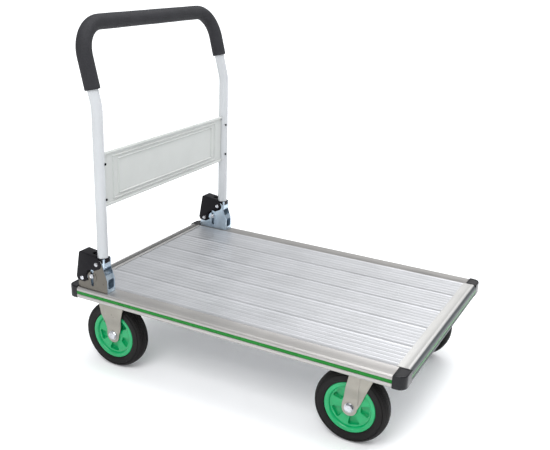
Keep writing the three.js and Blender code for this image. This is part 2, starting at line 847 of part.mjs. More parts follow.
// The socket that carries the tube: it turns on the pivot pin, and its tip stands over the lock pin.
function tubeSocket() {
  const top = tubeBottom - seam;
  const fullTurn = 2 * Math.PI;
  const shape = new THREE.Shape();
  shape.moveTo(pivotX - camRadius, top);
  shape.lineTo(pivotX - camRadius, pivotZ);
  shape.absarc(pivotX, pivotZ, camRadius, Math.PI, fullTurn + camAngle - camTipHalfAngle * 2, false);
  shape.absarc(pivotX, pivotZ, camReach, camAngle - camTipHalfAngle, camAngle + camTipHalfAngle, false);
  shape.absarc(pivotX, pivotZ, camRadius, camAngle + camTipHalfAngle * 2, 0, false);
  shape.lineTo(pivotX + camRadius, top);
  const halfWidth = cheekInner - camSide;
  const spigotRadius = tubeRadius - tubeWall - spigotClearance;
  const spigot = rodZ(spigotRadius, top - weld, tubeBottom + spigotLength, tubeX, -tubeY, rodSides);
  return prismY(shape, -tubeY - halfWidth, -tubeY + halfWidth).add(spigot).subtract(hingeBore([0, 0]));
}

// A pin across the hinge, with a head at each end, at a place measured from the pivot pin.
function headedPin(place, radius, headRadius, headStart, headHeight) {
  const [x, z] = fromPivot(place);
  const reach = headStart + headHeight;
  const shank = rodY(radius, -tubeY - reach + weld, -tubeY + reach - weld, x, z);
  const outer = rodY(headRadius, -tubeY - reach, -tubeY - headStart, x, z);
  const inner = rodY(headRadius, -tubeY + headStart, -tubeY + reach, x, z);
  return wasm.Manifold.union([shank, outer, inner]);
}

function footPin(place) {
  return headedPin(place, pinRadius, pinHead / 2, footOuter + seam, pinHeadHeight);
}

function lockPin() {
  const headStart = cheekOuter + lockHeadStandoff;
  return headedPin([slotX, lockPinZ], lockPinRadius, lockPinHead / 2, headStart, lockPinHeadHeight);
}

class Helix extends THREE.Curve {
  getPoint(t, target = new THREE.Vector3()) {
    const radius = (springDiameter - springWire) / 2;
    const low = bracketFloor + seam + springWire;
    const high = pivotZ + lockPinZ - lockPinRadius - seam - springWire;
    const a = 2 * Math.PI * springTurns * t;
    const x = pivotX + slotX + radius * Math.cos(a);
    return target.set(x, -tubeY + radius * Math.sin(a), low + (high - low) * t);
  }
}

function lockSpring() {
  const wire = new THREE.Shape();
  wire.absarc(0, 0, springWire / 2, 0, 2 * Math.PI, false);
  const geometry = new THREE.ExtrudeGeometry(wire, {
    steps: springTurns * springStepsPerTurn,
    extrudePath: new Helix(),
    bevelEnabled: false,
    curveSegments: 2,
  });
  return geometryToSolid(geometry);
}

function addHinges() {
  for (const [name, side] of sideNames) {
    addPart(`hinge_bracket_${name}`, onSide(hingeBracket(), side), "zinc");
    addPart(`folding_foot_${name}`, onSide(foldingFoot(), side), "blackPaint");
    addPart(`tube_socket_${name}`, onSide(tubeSocket(), side), "zinc");
    addPart(`pivot_pin_${name}`, onSide(footPin([0, 0]), side), "steel");
    addPart(`stop_pin_${name}`, onSide(footPin(stopPin), side), "steel");
    addPart(`lock_pin_${name}`, onSide(lockPin(), side), "steel");
    addPart(`lock_spring_${name}`, onSide(lockSpring(), side), "steel");
  }
}

// ---------- casters ----------

// Solid of revolution about Y from (radius, y) points that close on themselves.
function turned(points, segments = wheelSegments) {
  const closed = [...points, points[0]].map(([r, y]) => new THREE.Vector2(r, y));
  return geometryToSolid(new THREE.LatheGeometry(closed, segments));
}

// The flats of a turned ring lie this much closer to the axis than its corners.
const flatFactor = Math.cos(Math.PI / wheelSegments);

function mirroredProfile(half) {
  const other = half.map(([r, y]) => [r, -y]);
  return [...half, ...other.reverse()];
}

function tyre() {
  const half = tyreWidth / 2;
  const tread = wheelRadius / flatFactor;
  const bore = (rimRadius + seam) / flatFactor;
  const profile = mirroredProfile([
    [bore, -half + rimInset + seam],
    [bore + tyreBeadStep, -half + tyreBeadInset],
    [tread - tyreWallDepth, -half],
    [tread - tyreShoulder[0], -half + tyreShoulder[1]],
    [tread, -half + tyreTreadInset],
  ]);
  return turned(profile);
}

// The rim's pockets start at a phase in degrees about the axle.
function rim(phase) {
  const bore = (bushRadius + seam) / flatFactor;
  const profile = mirroredProfile([
    [bore, -rimFace],
    [rimRadius - rimLip - rimLipSlope, -rimFace],
    [rimRadius - rimLip, -rimHalf],
    [rimRadius, -rimHalf],
  ]);
  let solid = turned(profile);
  const halfAngle = rimPocketAngle / 2;
  const pocketOuter = rimRadius - rimPocketMargin;
  for (let i = 0; i < rimPocketCount; i++) {
    const middle = THREE.MathUtils.degToRad(phase) + (2 * Math.PI * i) / rimPocketCount;
    const corner = (r, a) => [r * Math.cos(middle + a), r * Math.sin(middle + a)];
    const pocket = polygon([
      corner(rimPocketInner, -halfAngle),
      corner(pocketOuter, -halfAngle),
      corner(pocketOuter, halfAngle),
      corner(rimPocketInner, halfAngle),
    ]);
    solid = solid.subtract(prismY(pocket, rimMidWeb / 2, rimHalf));
    solid = solid.subtract(prismY(pocket, -rimHalf, -rimMidWeb / 2));
  }
  return solid;
}

function bush() {
  const half = legLowInner - seam;
  const bore = axleRadius + seam;
  const boreCorner = bore / Math.cos(Math.PI / bushSides);
  return turned(mirroredProfile([[boreCorner, -half], [bushRadius, -half]]), bushSides);
}

function axleBolt() {
  const face = legLowOuter + seam;
  const reach = face + axleHeadHeight;
  const shank = rodY(axleRadius, -reach + weld, reach - weld, 0, 0);
  const head = rodY(axleHead / 2, -reach, -face, 0, 0, axleHeadSides);
  const nut = rodY(axleHead / 2, face, reach, 0, 0, axleHeadSides);
  return wasm.Manifold.union([shank, head, nut]);
}

// One fork leg in X and Z about the axle: wide at the top, narrower at its waist, round at the bottom.
function legShape(topCentre, topZ, top, waist, waistHeight) {
  const centre = (topCentre * waistHeight) / topZ;
  const shape = new THREE.Shape();
  shape.moveTo(topCentre - top / 2, topZ);
  shape.lineTo(centre - waist / 2, waistHeight);
  shape.absarc(0, forkEndRadius - forkEndDrop, forkEndRadius, Math.PI, 2 * Math.PI, false);
  shape.lineTo(centre + waist / 2, waistHeight);
  shape.lineTo(topCentre + top / 2, topZ);
  return shape;
}

// A fork's section across the wheel, out to the legs' outer or inner faces.
function forkSection(upper, lower, topZ) {
  const half = [
    [lower, -wheelRadius],
    [lower, forkSetEnd],
    [upper, forkSetStart],
    [upper, topZ],
  ];
  const other = half.map(([y, z]) => [-y, z]);
  return polygon([...half, ...other.reverse()]);
}

function forkLegs(shape, topZ) {
  const reach = fixedForkTop + swivelTrail;
  const outside = prismX(forkSection(legOuter, legLowOuter, topZ), -reach, reach);
  const inside = prismX(forkSection(legInner, legLowInner, topZ - forkSheet), -reach, reach);
  const bore = rodY(axleRadius + seam, -legOuter, legOuter, 0, 0);
  return prismY(shape, -legOuter, legOuter).intersect(outside).subtract(inside).subtract(bore);
}

function mountPlate() {
  return box([-plateLength / 2, plateLength / 2], [-plateWidth / 2, plateWidth / 2], [plateBottom, plateTop]);
}

function placedPart(name, solid, material, x, y, z) {
  const place = new THREE.Group();
  place.position.set(x, y, z);
  cart.add(place);
  addPart(name, solid, material, place);
}

function addWheel(name, x, y) {
  const half = Math.PI / wheelSegments;
  const place = new THREE.Group();
  place.position.set(x, y, wheelRadius);
  place.rotation.y = half;
  cart.add(place);
  const pocketPhase = THREE.MathUtils.radToDeg(half) - wheelPhases[name];
  addPart(`tyre_${name}`, tyre(), "rubber", place);
  addPart(`wheel_rim_${name}`, rim(pocketPhase), "rimGreen", place);
  addPart(`wheel_bush_${name}`, bush(), "nylon", place);
  placedPart(`axle_bolt_${name}`, axleBolt(), "steel", x, y, wheelRadius);
}

function fixedFork() {
  const topZ = plateBottom - wheelRadius + plateThickness / 2;
  const shape = legShape(0, topZ, fixedForkTop, fixedForkWaist, fixedForkWaistHeight);
  return forkLegs(shape, topZ).add(mountPlate().translate(0, 0, -wheelRadius));
}

function swivelPlate() {
  const race = rodZ(raceRadius, plateBottom - raceHeight, plateBottom + weld, 0, 0);
  const pinLow = crownBottom - seam - kingPinHeadHeight;
  const pin = rodZ(kingPinRadius, pinLow, plateBottom, 0, 0);
  const head = rodZ(kingPinHeadRadius, pinLow, crownBottom - seam, 0, 0);
  return wasm.Manifold.union([mountPlate(), race, pin, head]);
}

// The swivel fork, about its kingpin's axis on the floor.
function swivelFork() {
  const topZ = crownBottom + crownThickness - wheelRadius;
  const shape = legShape(swivelTrail, topZ, swivelForkTop, swivelForkWaist, swivelForkWaistHeight);
  const legs = forkLegs(shape, topZ).translate(-swivelTrail, 0, wheelRadius);
  const disc = rodZ(raceRadius, crownBottom, crownTop, 0, 0);
  const bore = rodZ(kingPinRadius + kingPinSlip, crownBottom - clearCut, crownTop + clearCut, 0, 0);
  return legs.add(disc).subtract(bore);
}

function addCasters() {
  for (const [sideName, side] of sideNames) {
    const y = side * casterY;
    placedPart(`fixed_fork_${sideName}`, fixedFork(), "forkPaint", fixedWheelX, y, wheelRadius);
    addWheel(`rear_${sideName}`, fixedWheelX, y);
    placedPart(`swivel_plate_${sideName}`, swivelPlate(), "forkPaint", swivelX, y, 0);
    placedPart(`swivel_fork_${sideName}`, swivelFork(), "forkPaint", swivelX, y, 0);
    addWheel(`front_${sideName}`, swivelX - swivelTrail, y);
  }
}

// ---------- assembly ----------

addPlanks();
addRails();
addCaps();
addHandleTube();
addGrip();
addPanel();
addPanelScrews();
addHinges();
addCasters();

export default cart;
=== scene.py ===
import math

import bmesh
import bpy
from mathutils import Matrix, Vector


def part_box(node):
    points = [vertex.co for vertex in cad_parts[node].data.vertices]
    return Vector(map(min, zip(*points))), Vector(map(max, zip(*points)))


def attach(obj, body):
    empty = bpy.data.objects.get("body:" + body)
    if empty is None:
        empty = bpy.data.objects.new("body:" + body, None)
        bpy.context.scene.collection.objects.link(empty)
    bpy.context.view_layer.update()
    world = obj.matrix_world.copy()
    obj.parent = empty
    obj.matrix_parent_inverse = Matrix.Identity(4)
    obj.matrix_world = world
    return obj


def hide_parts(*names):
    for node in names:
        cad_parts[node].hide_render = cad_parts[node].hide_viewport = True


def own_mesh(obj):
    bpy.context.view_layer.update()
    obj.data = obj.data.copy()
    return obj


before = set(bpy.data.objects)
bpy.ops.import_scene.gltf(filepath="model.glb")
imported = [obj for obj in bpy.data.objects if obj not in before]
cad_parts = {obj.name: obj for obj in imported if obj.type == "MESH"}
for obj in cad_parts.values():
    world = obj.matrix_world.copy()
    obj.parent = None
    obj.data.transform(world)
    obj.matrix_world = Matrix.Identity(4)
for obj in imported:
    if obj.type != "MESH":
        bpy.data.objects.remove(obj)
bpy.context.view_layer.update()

# Lengths below are in millimetres in the CAD's frame: X away from the handle, Y to the left, Z up.
MM = 0.001
TAU = 2 * math.pi
SIDES = {"right": -1, "left": 1}
ENDS = {"rear": -1, "front": 1}


def span(node):
    """Lowest and highest corner of a CAD node in millimetres."""
    low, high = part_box(node)
    return Vector(low) / MM, Vector(high) / MM


def middle(node):
    low, high = span(node)
    return (low + high) / 2


# ---------- materials ----------


def linear(value):
    return value / 12.92 if value <= 0.04045 else ((value + 0.055) / 1.055) ** 2.4


def srgb(red, green, blue):
    return (linear(red), linear(green), linear(blue), 1.0)


class Finish:
    """A Principled material whose colour, roughness and bump come from procedural detail."""

    def __init__(self, name, metallic=0.0, specular=0.5):
        self.material = bpy.data.materials.new(name)
        self.material.use_nodes = True
        self.tree = self.material.node_tree
        self.shader = self.tree.nodes["Principled BSDF"]
        self.shader.inputs["Metallic"].default_value = metallic
        self.shader.inputs["Coat Roughness"].default_value = 0.1
        self.shader.inputs["Specular IOR Level"].default_value = specular
        self.object_coords = self.tree.nodes.new("ShaderNodeTexCoord").outputs["Object"]

    def node(self, kind, **settings):
        made = self.tree.nodes.new(kind)
        for key, value in settings.items():
            setattr(made, key, value)
        return made

    def stretched(self, scale):
        mapping = self.node("ShaderNodeMapping")
        mapping.inputs["Scale"].default_value = scale
        self.tree.links.new(self.object_coords, mapping.inputs["Vector"])
        return mapping.outputs["Vector"]

    def noise(self, scale, detail=4.0, roughness=0.55, stretch=None, distortion=0.0):
        made = self.node("ShaderNodeTexNoise")
        made.inputs["Scale"].default_value = scale
        made.inputs["Detail"].default_value = detail
        made.inputs["Roughness"].default_value = roughness
        made.inputs["Distortion"].default_value = distortion
        source = self.stretched(stretch) if stretch else self.object_coords
        self.tree.links.new(source, made.inputs["Vector"])
        return made.outputs["Fac"]

    def cells(self, scale):
        made = self.node("ShaderNodeTexVoronoi")
        made.inputs["Scale"].default_value = scale
        self.tree.links.new(self.object_coords, made.inputs["Vector"])
        return made.outputs["Distance"]

    def place(self, axis):
        """How far along an axis a point lies, in metres."""
        split = self.node("ShaderNodeSeparateXYZ")
        self.tree.links.new(self.object_coords, split.inputs["Vector"])
        return split.outputs[axis]

    def spread(self, value, low, high, out_low=0.0, out_high=1.0):
        made = self.node("ShaderNodeMapRange")
        for key, number in (("From Min", low), ("From Max", high), ("To Min", out_low), ("To Max", out_high)):
            made.inputs[key].default_value = number
        self.tree.links.new(value, made.inputs["Value"])
        return made.outputs["Result"]

    def blend(self, factor, first, second):
        made = self.node("ShaderNodeMix", data_type="RGBA")
        self.tree.links.new(factor, made.inputs["Factor"])
        for slot, colour in ((6, first), (7, second)):
            if isinstance(colour, tuple):
                made.inputs[slot].default_value = colour
            else:
                self.tree.links.new(colour, made.inputs[slot])
        return made.outputs[2]

    def sum(self, first, second, weight):
        scaled = self.node("ShaderNodeMath", operation="MULTIPLY")
        self.tree.links.new(second, scaled.inputs[0])
        scaled.inputs[1].default_value = weight
        made = self.node("ShaderNodeMath", operation="ADD")
        self.tree.links.new(first, made.inputs[0])
        self.tree.links.new(scaled.outputs[0], made.inputs[1])
        return made.outputs[0]

    def colour(self, value):
        self.tree.links.new(value, self.shader.inputs["Base Color"])

    def roughness(self, value):
        self.tree.links.new(value, self.shader.inputs["Roughness"])

    def bump(self, height, distance, strength=1.0):
        made = self.node("ShaderNodeBump")
        made.inputs["Strength"].default_value = strength
        made.inputs["Distance"].default_value = distance
        self.tree.links.new(height, made.inputs["Height"])
        self.tree.links.new(made.outputs["Normal"], self.shader.inputs["Normal"])


RAIL_SHADE_TO, RAIL_SHADE_FROM = 0.2274, 0.2262  # metres above the floor, at the rails' upper edge, where the painted shade on their faces begins
BARE_SHARE = 0.905  # tone of the darkest hairlines, as a share of the bright ones
HANDLED = srgb(0.74, 0.735, 0.75)


def brushed_aluminium(name, stretch, metallic=0.85, face_shade=None, bright=(0.815, 0.818, 0.828)):
    """Extruded, brushed metal: hairlines along the profile, faint draw lines and handling marks.

    Given a face shade tone, a rail's face below its upper edge has that tone: painted shade.
    """
    made = Finish(name, metallic=metallic)
    hair = made.noise(1.0, 5.0, 0.7, stretch)
    lines = made.noise(1.0, 2.0, 0.5, tuple(s * 0.09 for s in stretch))
    marks = made.noise(9.0, 5.0, 0.6)
    tone = made.sum(made.spread(hair, 0.3, 0.7, 0.0, 0.6), made.spread(lines, 0.35, 0.65), 0.4)
    base = made.blend(tone, srgb(*(share * BARE_SHARE for share in bright)), srgb(*bright))
    base = made.blend(made.spread(marks, 0.5, 0.8, 0.0, 0.35), base, HANDLED)
    # painted shade: below the upper edge a rail's face takes the darker tone
    if face_shade:
        base = made.blend(made.spread(made.place("Z"), RAIL_SHADE_TO, RAIL_SHADE_FROM), base, face_shade)
    made.colour(base)
    made.roughness(made.sum(made.spread(marks, 0.3, 0.7, 0.30, 0.42), hair, 0.1))
    made.bump(hair, 0.00004, 0.5)
    return made.material


def coated(name, colour, shade, rough, peel, depth=0.00004, metallic=0.0, specular=0.5):
    """Paint or powder coat: orange peel, and a slow change of tone over the surface."""
    made = Finish(name, metallic, specular)
    slow = made.noise(7.0, 4.0, 0.6)
    fine = made.noise(peel, 3.0, 0.5)
    tone = made.sum(made.spread(slow, 0.35, 0.7, 0.0, 0.75), fine, 0.25)
    made.colour(made.blend(tone, colour, shade))
    made.roughness(made.spread(slow, 0.3, 0.7, rough[0], rough[1]))
    made.bump(fine, depth, 0.6)
    return made.material


def moulded(name, colour, shade, rough, grain, depth, specular=0.5):
    """Moulded plastic: a fine grained skin with flow marks."""
    made = Finish(name, specular=specular)
    skin = made.cells(grain)
    flow = made.noise(22.0, 4.0, 0.6, distortion=0.8)
    tone = made.sum(made.spread(flow, 0.3, 0.7, 0.0, 0.8), skin, 0.3)
    made.colour(made.blend(tone, colour, shade))
    made.roughness(made.spread(flow, 0.3, 0.7, rough[0], rough[1]))
    made.bump(skin, depth, 0.7)
    return made.material


CHEEK_SHADE_FROM, CHEEK_SHADE_TO = 0.2972, 0.2986  # metres from the middle, at the brackets' outer faces, where their painted shade begins
# painted shade for the brackets' outer faces
CHEEK_SHADE = srgb(0.40, 0.385, 0.36)


def zinc(name):
    """Bright zinc plate: a bluish skin with soft spangle, a trace of straw colour and fine rolling lines.

    The brackets' outer faces have painted shade: a darker brown tone.
    """
    made = Finish(name, metallic=0.95)
    spangle = made.noise(38.0, 3.0, 0.5, distortion=0.6)
    straw = made.noise(16.0, 2.0, 0.4)
    rolled = made.noise(1.0, 4.0, 0.6, (150.0, 150.0, 1900.0))
    base = made.blend(made.spread(spangle, 0.35, 0.65), srgb(0.66, 0.73, 0.79), srgb(0.76, 0.82, 0.87))
    base = made.blend(made.spread(straw, 0.5, 0.75, 0.0, 0.5), base, srgb(0.60, 0.60, 0.58))
    across = made.place("Y")
    outward = made.node("ShaderNodeMath", operation="ABSOLUTE")
    made.tree.links.new(across, outward.inputs[0])
    # painted shade: the outer faces take the darker brown
    outer = made.spread(outward.outputs[0], CHEEK_SHADE_FROM, CHEEK_SHADE_TO)
    made.colour(made.blend(outer, base, CHEEK_SHADE))
    made.roughness(made.sum(made.spread(spangle, 0.3, 0.7, 0.24, 0.34), rolled, 0.1))
    made.bump(rolled, 0.00003, 0.5)
    return made.material


def foam(name):
    """Closed-cell foam rubber: pores about a millimetre across under a matte skin."""
    made = Finish(name, specular=0.28)
    pores = made.cells(1100.0)
    nap = made.noise(300.0, 5.0, 0.7)
    wear = made.noise(16.0, 4.0, 0.6)
    tone = made.sum(made.spread(pores, 0.1, 0.6, 0.0, 0.6), made.spread(wear, 0.35, 0.7), 0.4)
    made.colour(made.blend(tone, srgb(0.08, 0.08, 0.09), srgb(0.16, 0.16, 0.175)))
    made.roughness(made.spread(nap, 0.3, 0.7, 0.62, 0.82))
    made.bump(made.sum(pores, nap, 0.8), 0.00022, 0.75)
    return made.material


def rubber(name):
    """Tyre rubber: a slightly brown black with fine moulding grain and a little dust."""
    made = Finish(name, specular=0.22)
    grain = made.cells(760.0)
    dust = made.noise(30.0, 5.0, 0.65)
    tone = made.sum(made.spread(dust, 0.4, 0.75, 0.0, 0.8), grain, 0.2)
    made.colour(made.blend(tone, srgb(0.045, 0.04, 0.04), srgb(0.10, 0.09, 0.088)))
    made.roughness(made.spread(dust, 0.3, 0.7, 0.5, 0.68))
    made.bump(grain, 0.00012, 0.6)
    return made.material


def turned_steel(name):
    made = Finish(name, metallic=1.0)
    swirl = made.noise(260.0, 4.0, 0.6, distortion=2.0)
    stain = made.noise(60.0, 3.0, 0.5)
    made.colour(made.blend(made.spread(stain, 0.4, 0.7), srgb(0.80, 0.81, 0.83), srgb(0.62, 0.62, 0.63)))
    made.roughness(made.spread(swirl, 0.3, 0.7, 0.18, 0.34))
    made.bump(swirl, 0.00003, 0.5)
    return made.material


ALONG_X = (9.0, 1500.0, 1500.0)  # hairlines to a metre, few along the profile and many across it
ALONG_Y = (1500.0, 9.0, 1500.0)

ALUMINIUM_X = brushed_aluminium("deck_aluminium_along_x", ALONG_X)
# The end rails and the side rails get painted shade on their faces below the upper edge.
ALUMINIUM_Y = brushed_aluminium(
    "deck_aluminium_along_y", ALONG_Y, 0.72, srgb(0.36, 0.375, 0.385), (0.81, 0.805, 0.795)
)
SIDE_ALUMINIUM = brushed_aluminium("rail_aluminium_along_x", ALONG_X, 0.85, srgb(0.66, 0.65, 0.64))
GREEN_STRIPE = moulded(
    "green_stripe", srgb(0.0, 0.40, 0.09), srgb(0.0, 0.46, 0.12), (0.22, 0.32), 900.0, 0.00002, specular=0.25
)
BLACK_PLASTIC = moulded(
    "black_plastic", srgb(0.07, 0.07, 0.08), srgb(0.12, 0.12, 0.13), (0.18, 0.28), 1300.0, 0.00004, specular=0.2
)
WHITE_PAINT = coated("white_paint", srgb(0.69, 0.70, 0.71), srgb(0.73, 0.74, 0.75), (0.18, 0.28), 380.0)
GREY_PAINT = coated("grey_paint", srgb(0.69, 0.70, 0.69), srgb(0.725, 0.735, 0.725), (0.28, 0.4), 520.0)
BLACK_PAINT = coated(
    "black_paint", srgb(0.06, 0.055, 0.07), srgb(0.10, 0.095, 0.11), (0.2, 0.32), 600.0, specular=0.1
)
FORK_STEEL = coated(
    "fork_steel", srgb(0.54, 0.525, 0.495), srgb(0.64, 0.625, 0.59), (0.26, 0.38), 700.0, 0.00005, metallic=0.6
)
GREEN_RIM = moulded("green_rim", srgb(0.01, 0.57, 0.33), srgb(0.03, 0.65, 0.40), (0.14, 0.24), 1000.0, 0.00002)
BUSH_NYLON = moulded("bush_nylon", srgb(0.82, 0.82, 0.78), srgb(0.90, 0.90, 0.86), (0.4, 0.5), 900.0, 0.00003)
ZINC = zinc("zinc_plate")
GRIP_FOAM = foam("grip_foam")
TYRE_RUBBER = rubber("tyre_rubber")
STEEL = turned_steel("bright_steel")

# ---------- mesh building ----------

SHARP_ANGLE = math.radians(34)
AXIS_GAP = 0.001  # a turned profile stays this far off its axis


def shaded(mesh):
    """Smooth faces that meet in a crease where they turn sharply."""
    mesh.shade_smooth()
    mesh.set_sharp_from_angle(angle=SHARP_ANGLE)


def link(name, mesh, *materials):
    mesh.materials.clear()
    for material in materials:
        mesh.materials.append(material)
    shaded(mesh)
    made = bpy.data.objects.new(name, mesh)
    bpy.context.scene.collection.objects.link(made)
    return made


def welded(bm):
    """Joins points that coincide and turns every face outward."""
    bmesh.ops.remove_doubles(bm, verts=bm.verts, dist=1e-7)
    bmesh.ops.recalc_face_normals(bm, faces=bm.faces)


def into_mesh(name, bm):
    mesh = bpy.data.meshes.new(name)
    bm.to_mesh(mesh)
    bm.free()
    return mesh


def from_bmesh(name, bm, material):
    welded(bm)
    return link(name, into_mesh(name, bm), material)


def from_grid(name, rings, material, close_path=False):
    """Quads through closed rings of points, in millimetres, with the ends filled."""
    bm = bmesh.new()
    rows = [[bm.verts.new(Vector(p) * MM) for p in ring] for ring in rings]
    count = len(rows)
    width = len(rows[0])
    for i in range(count if close_path else count - 1):
        low, high = rows[i], rows[(i + 1) % count]
        for j in range(width):
            k = (j + 1) % width
            bm.faces.new((low[j], low[k], high[k], high[j]))
    if not close_path:
        bm.faces.new(rows[0])
        bm.faces.new(rows[-1])
    return from_bmesh(name, bm, material)


def rod(radius, low, high):
    """The profile of a plain cylinder for lathe()."""
    return [(AXIS_GAP, low), (radius, low), (radius, high), (AXIS_GAP, high)]


def prism(name, section, low, high, axis, material):
    """A section in Y and Z run along X, or in X and Z run along Y."""
    if axis == "X":
        rings = [[(x, a, b) for a, b in section] for x in (low, high)]
    else:
        rings = [[(a, y, b) for a, b in section] for y in (low, high)]
    return from_grid(name, rings, material)


def lathe(name, profile, centre, material, axis="Y", segments=96):
    """A closed profile of (radius, height) points turned about an axis through the centre."""
    rings = []
    for i in range(segments):
        a = TAU * i / segments
        ring = []
        for radius, height in profile:
            u, v = radius * math.cos(a), radius * math.sin(a)
            offset = {"X": (height, u, v), "Y": (u, height, v), "Z": (u, v, height)}[axis]
            ring.append(Vector(centre) + Vector(offset))
        rings.append(ring)
    return from_grid(name, rings, material, close_path=True)


def arc(centre, radius, start, end, steps):
    """Points on an arc, angles in degrees."""
    points = []
    for i in range(steps + 1):
        a = math.radians(start + (end - start) * i / steps)
        points.append((centre[0] + radius * math.cos(a), centre[1] + radius * math.sin(a)))
    return points


def circle(centre, radius, steps=32):
    return arc(centre, radius, 0, 360, steps)[:-1]


def rectangle(low_a, high_a, low_b, high_b):
    return [(low_a, low_b), (high_a, low_b), (high_a, high_b), (low_a, high_b)]


def rounded(points, radius, steps=5):
    """A closed outline with each corner rounded; radius is a number or one per corner."""
    count = len(points)
    radii = radius if isinstance(radius, (list, tuple)) else [radius] * count
    made = []
    for i, corner in enumerate(points):
        here = Vector(corner)
        before = Vector(points[i - 1]) - here
        after = Vector(points[(i + 1) % count]) - here
        if radii[i] <= 0:
            made.append(tuple(here))
            continue
        half = before.angle(after) / 2
        reach = min(radii[i] / math.tan(half), before.length * 0.49, after.length * 0.49)
        size = reach * math.tan(half)
        bisector = (before.normalized() + after.normalized()).normalized()
        centre = here + bisector * (size / math.sin(half))
        first = here + before.normalized() * reach - centre
        last = here + after.normalized() * reach - centre
        turn = first.angle_signed(last)
        for k in range(steps + 1):
            a = -turn * k / steps
            made.append((
                centre.x + first.x * math.cos(a) - first.y * math.sin(a),
                centre.y + first.x * math.sin(a) + first.y * math.cos(a),
            ))
    return made


def plate(name, loops, low, high, axis, material, edge=0.4, steps=2):
    """A flat shape with holes and rounded edges, between two heights along an axis."""
    curve = bpy.data.curves.new(name, "CURVE")
    curve.dimensions = "2D"
    curve.fill_mode = "BOTH"
    curve.extrude = ((high - low) / 2 - edge) * MM
    curve.bevel_depth = edge * MM
    curve.bevel_resolution = steps
    curve.offset = -edge * MM
    for loop in loops:
        spline = curve.splines.new("POLY")
        spline.points.add(len(loop) - 1)
        for point, (a, b) in zip(spline.points, loop):
            point.co = (a * MM, b * MM, 0, 1)
        spline.use_cyclic_u = True
    source = bpy.data.objects.new(name + "_outline", curve)
    bpy.context.scene.collection.objects.link(source)
    graph = bpy.context.evaluated_depsgraph_get()
    mesh = bpy.data.meshes.new_from_object(source.evaluated_get(graph))
    bpy.data.objects.remove(source)
    bpy.data.curves.remove(curve)
    mid = (low + high) / 2 * MM
    turn = {
        "Z": Matrix(((1, 0, 0, 0), (0, 1, 0, 0), (0, 0, 1, mid), (0, 0, 0, 1))),
        "Y": Matrix(((1, 0, 0, 0), (0, 0, -1, mid), (0, 1, 0, 0), (0, 0, 0, 1))),
        "X": Matrix(((0, 0, 1, mid), (1, 0, 0, 0), (0, 1, 0, 0), (0, 0, 0, 1))),
    }[axis]
    mesh.transform(turn)
    bm = bmesh.new()
    bm.from_mesh(mesh)
    bpy.data.meshes.remove(mesh)
    bmesh.ops.remove_doubles(bm, verts=bm.verts, dist=2e-6)
    return from_bmesh(name, bm, material)


def cutter(outline, low, high, axis, material):
    """A sharp-edged block that a hole is cut with."""
    return plate("cutter", [outline], low, high, axis, material, edge=0.01, steps=0)


def modified(obj):
    """The object with its modifiers applied."""
    graph = bpy.context.evaluated_depsgraph_get()
    mesh = bpy.data.meshes.new_from_object(obj.evaluated_get(graph))
    obj.modifiers.clear()
    old = obj.data
    obj.data = mesh
    bpy.data.meshes.remove(old)
    shaded(mesh)
    return obj


def cut(obj, *cutters):
    """Takes the cutters out of the object and deletes them."""
    for cutter in cutters:
        step = obj.modifiers.new("cut", "BOOLEAN")
        step.operation = "DIFFERENCE"
        step.solver = "EXACT"
        step.object = cutter
    modified(obj)
    for cutter in cutters:
        bpy.data.objects.remove(cutter)
    return obj


def joined(name, parts):
    """Several meshes as one piece; they keep their own closed surfaces."""
    bm = bmesh.new()
    materials = []
    for part in parts:
        mesh = part.data
        for material in mesh.materials:
            if material not in materials:
                materials.append(material)
        index = materials.index(mesh.materials[0])
        start = len(bm.faces)
        bm.from_mesh(mesh)
        bm.faces.ensure_lookup_table()
        for face in bm.faces[start:]:
            face.material_index = index
    made = link(name, into_mesh(name, bm), *materials)
    for part in parts:
        bpy.data.objects.remove(part)
    return made


def bevelled(obj, width, angle):
    step = obj.modifiers.new("edges", "BEVEL")
    step.width = width * MM
    step.segments = 2
    step.limit_method = "ANGLE"
    step.angle_limit = math.radians(angle)
    return modified(obj)


def along(points):
    """Distance from the start at each point."""
    total, made = 0.0, [0.0]
    for a, b in zip(points, points[1:]):
        total += (b - a).length
        made.append(total)
    return made


def sweep(name, points, radii, material, sides=32):
    """A round section carried along a path without twist; radii is a number or one per point.

    The section stays square to the path even where its steps are tiny or zero.
    """
    path = [Vector(p) for p in points]
    sizes = radii if isinstance(radii, (list, tuple)) else [radii] * len(path)
    distances = along(path)
    steps = [(max(0, i - 1), min(len(path) - 1, i + 1)) for i in range(len(path))]
    wide = [distances[high] - distances[low] > 1e-3 for low, high in steps]
    low, high = steps[wide.index(True)]
    direction = (path[high] - path[low]).normalized()
    side = direction.orthogonal().normalized()
    rings = []
    for i, point in enumerate(path):
        if wide[i]:
            low, high = steps[i]
            ahead = (path[high] - path[low]).normalized()
            side = direction.rotation_difference(ahead) @ side
            direction = ahead
        side = (side - direction * side.dot(direction)).normalized()
        other = direction.cross(side)
        angles = [TAU * j / sides for j in range(sides)]
        rings.append([point + (side * math.cos(a) + other * math.sin(a)) * sizes[i] for a in angles])
    return from_grid(name, rings, material)


def keep(piece, body, slot, *nodes):
    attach(piece, body)
    if nodes:
        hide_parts(*nodes)
    return piece


def smooth_step(value):
    value = max(0.0, min(1.0, value))
    return value * value * (3 - 2 * value)


def mirror_section(section, sign):
    return [(a * sign, b) for a, b in section]


def mirror_heights(profile, sign):
    return [(radius, height * sign) for radius, height in profile]


def both_sides(side):
    """A profile that is the same on both sides of a wheel."""
    return side + mirror_heights(reversed(side), -1)


# ---------- deck ----------

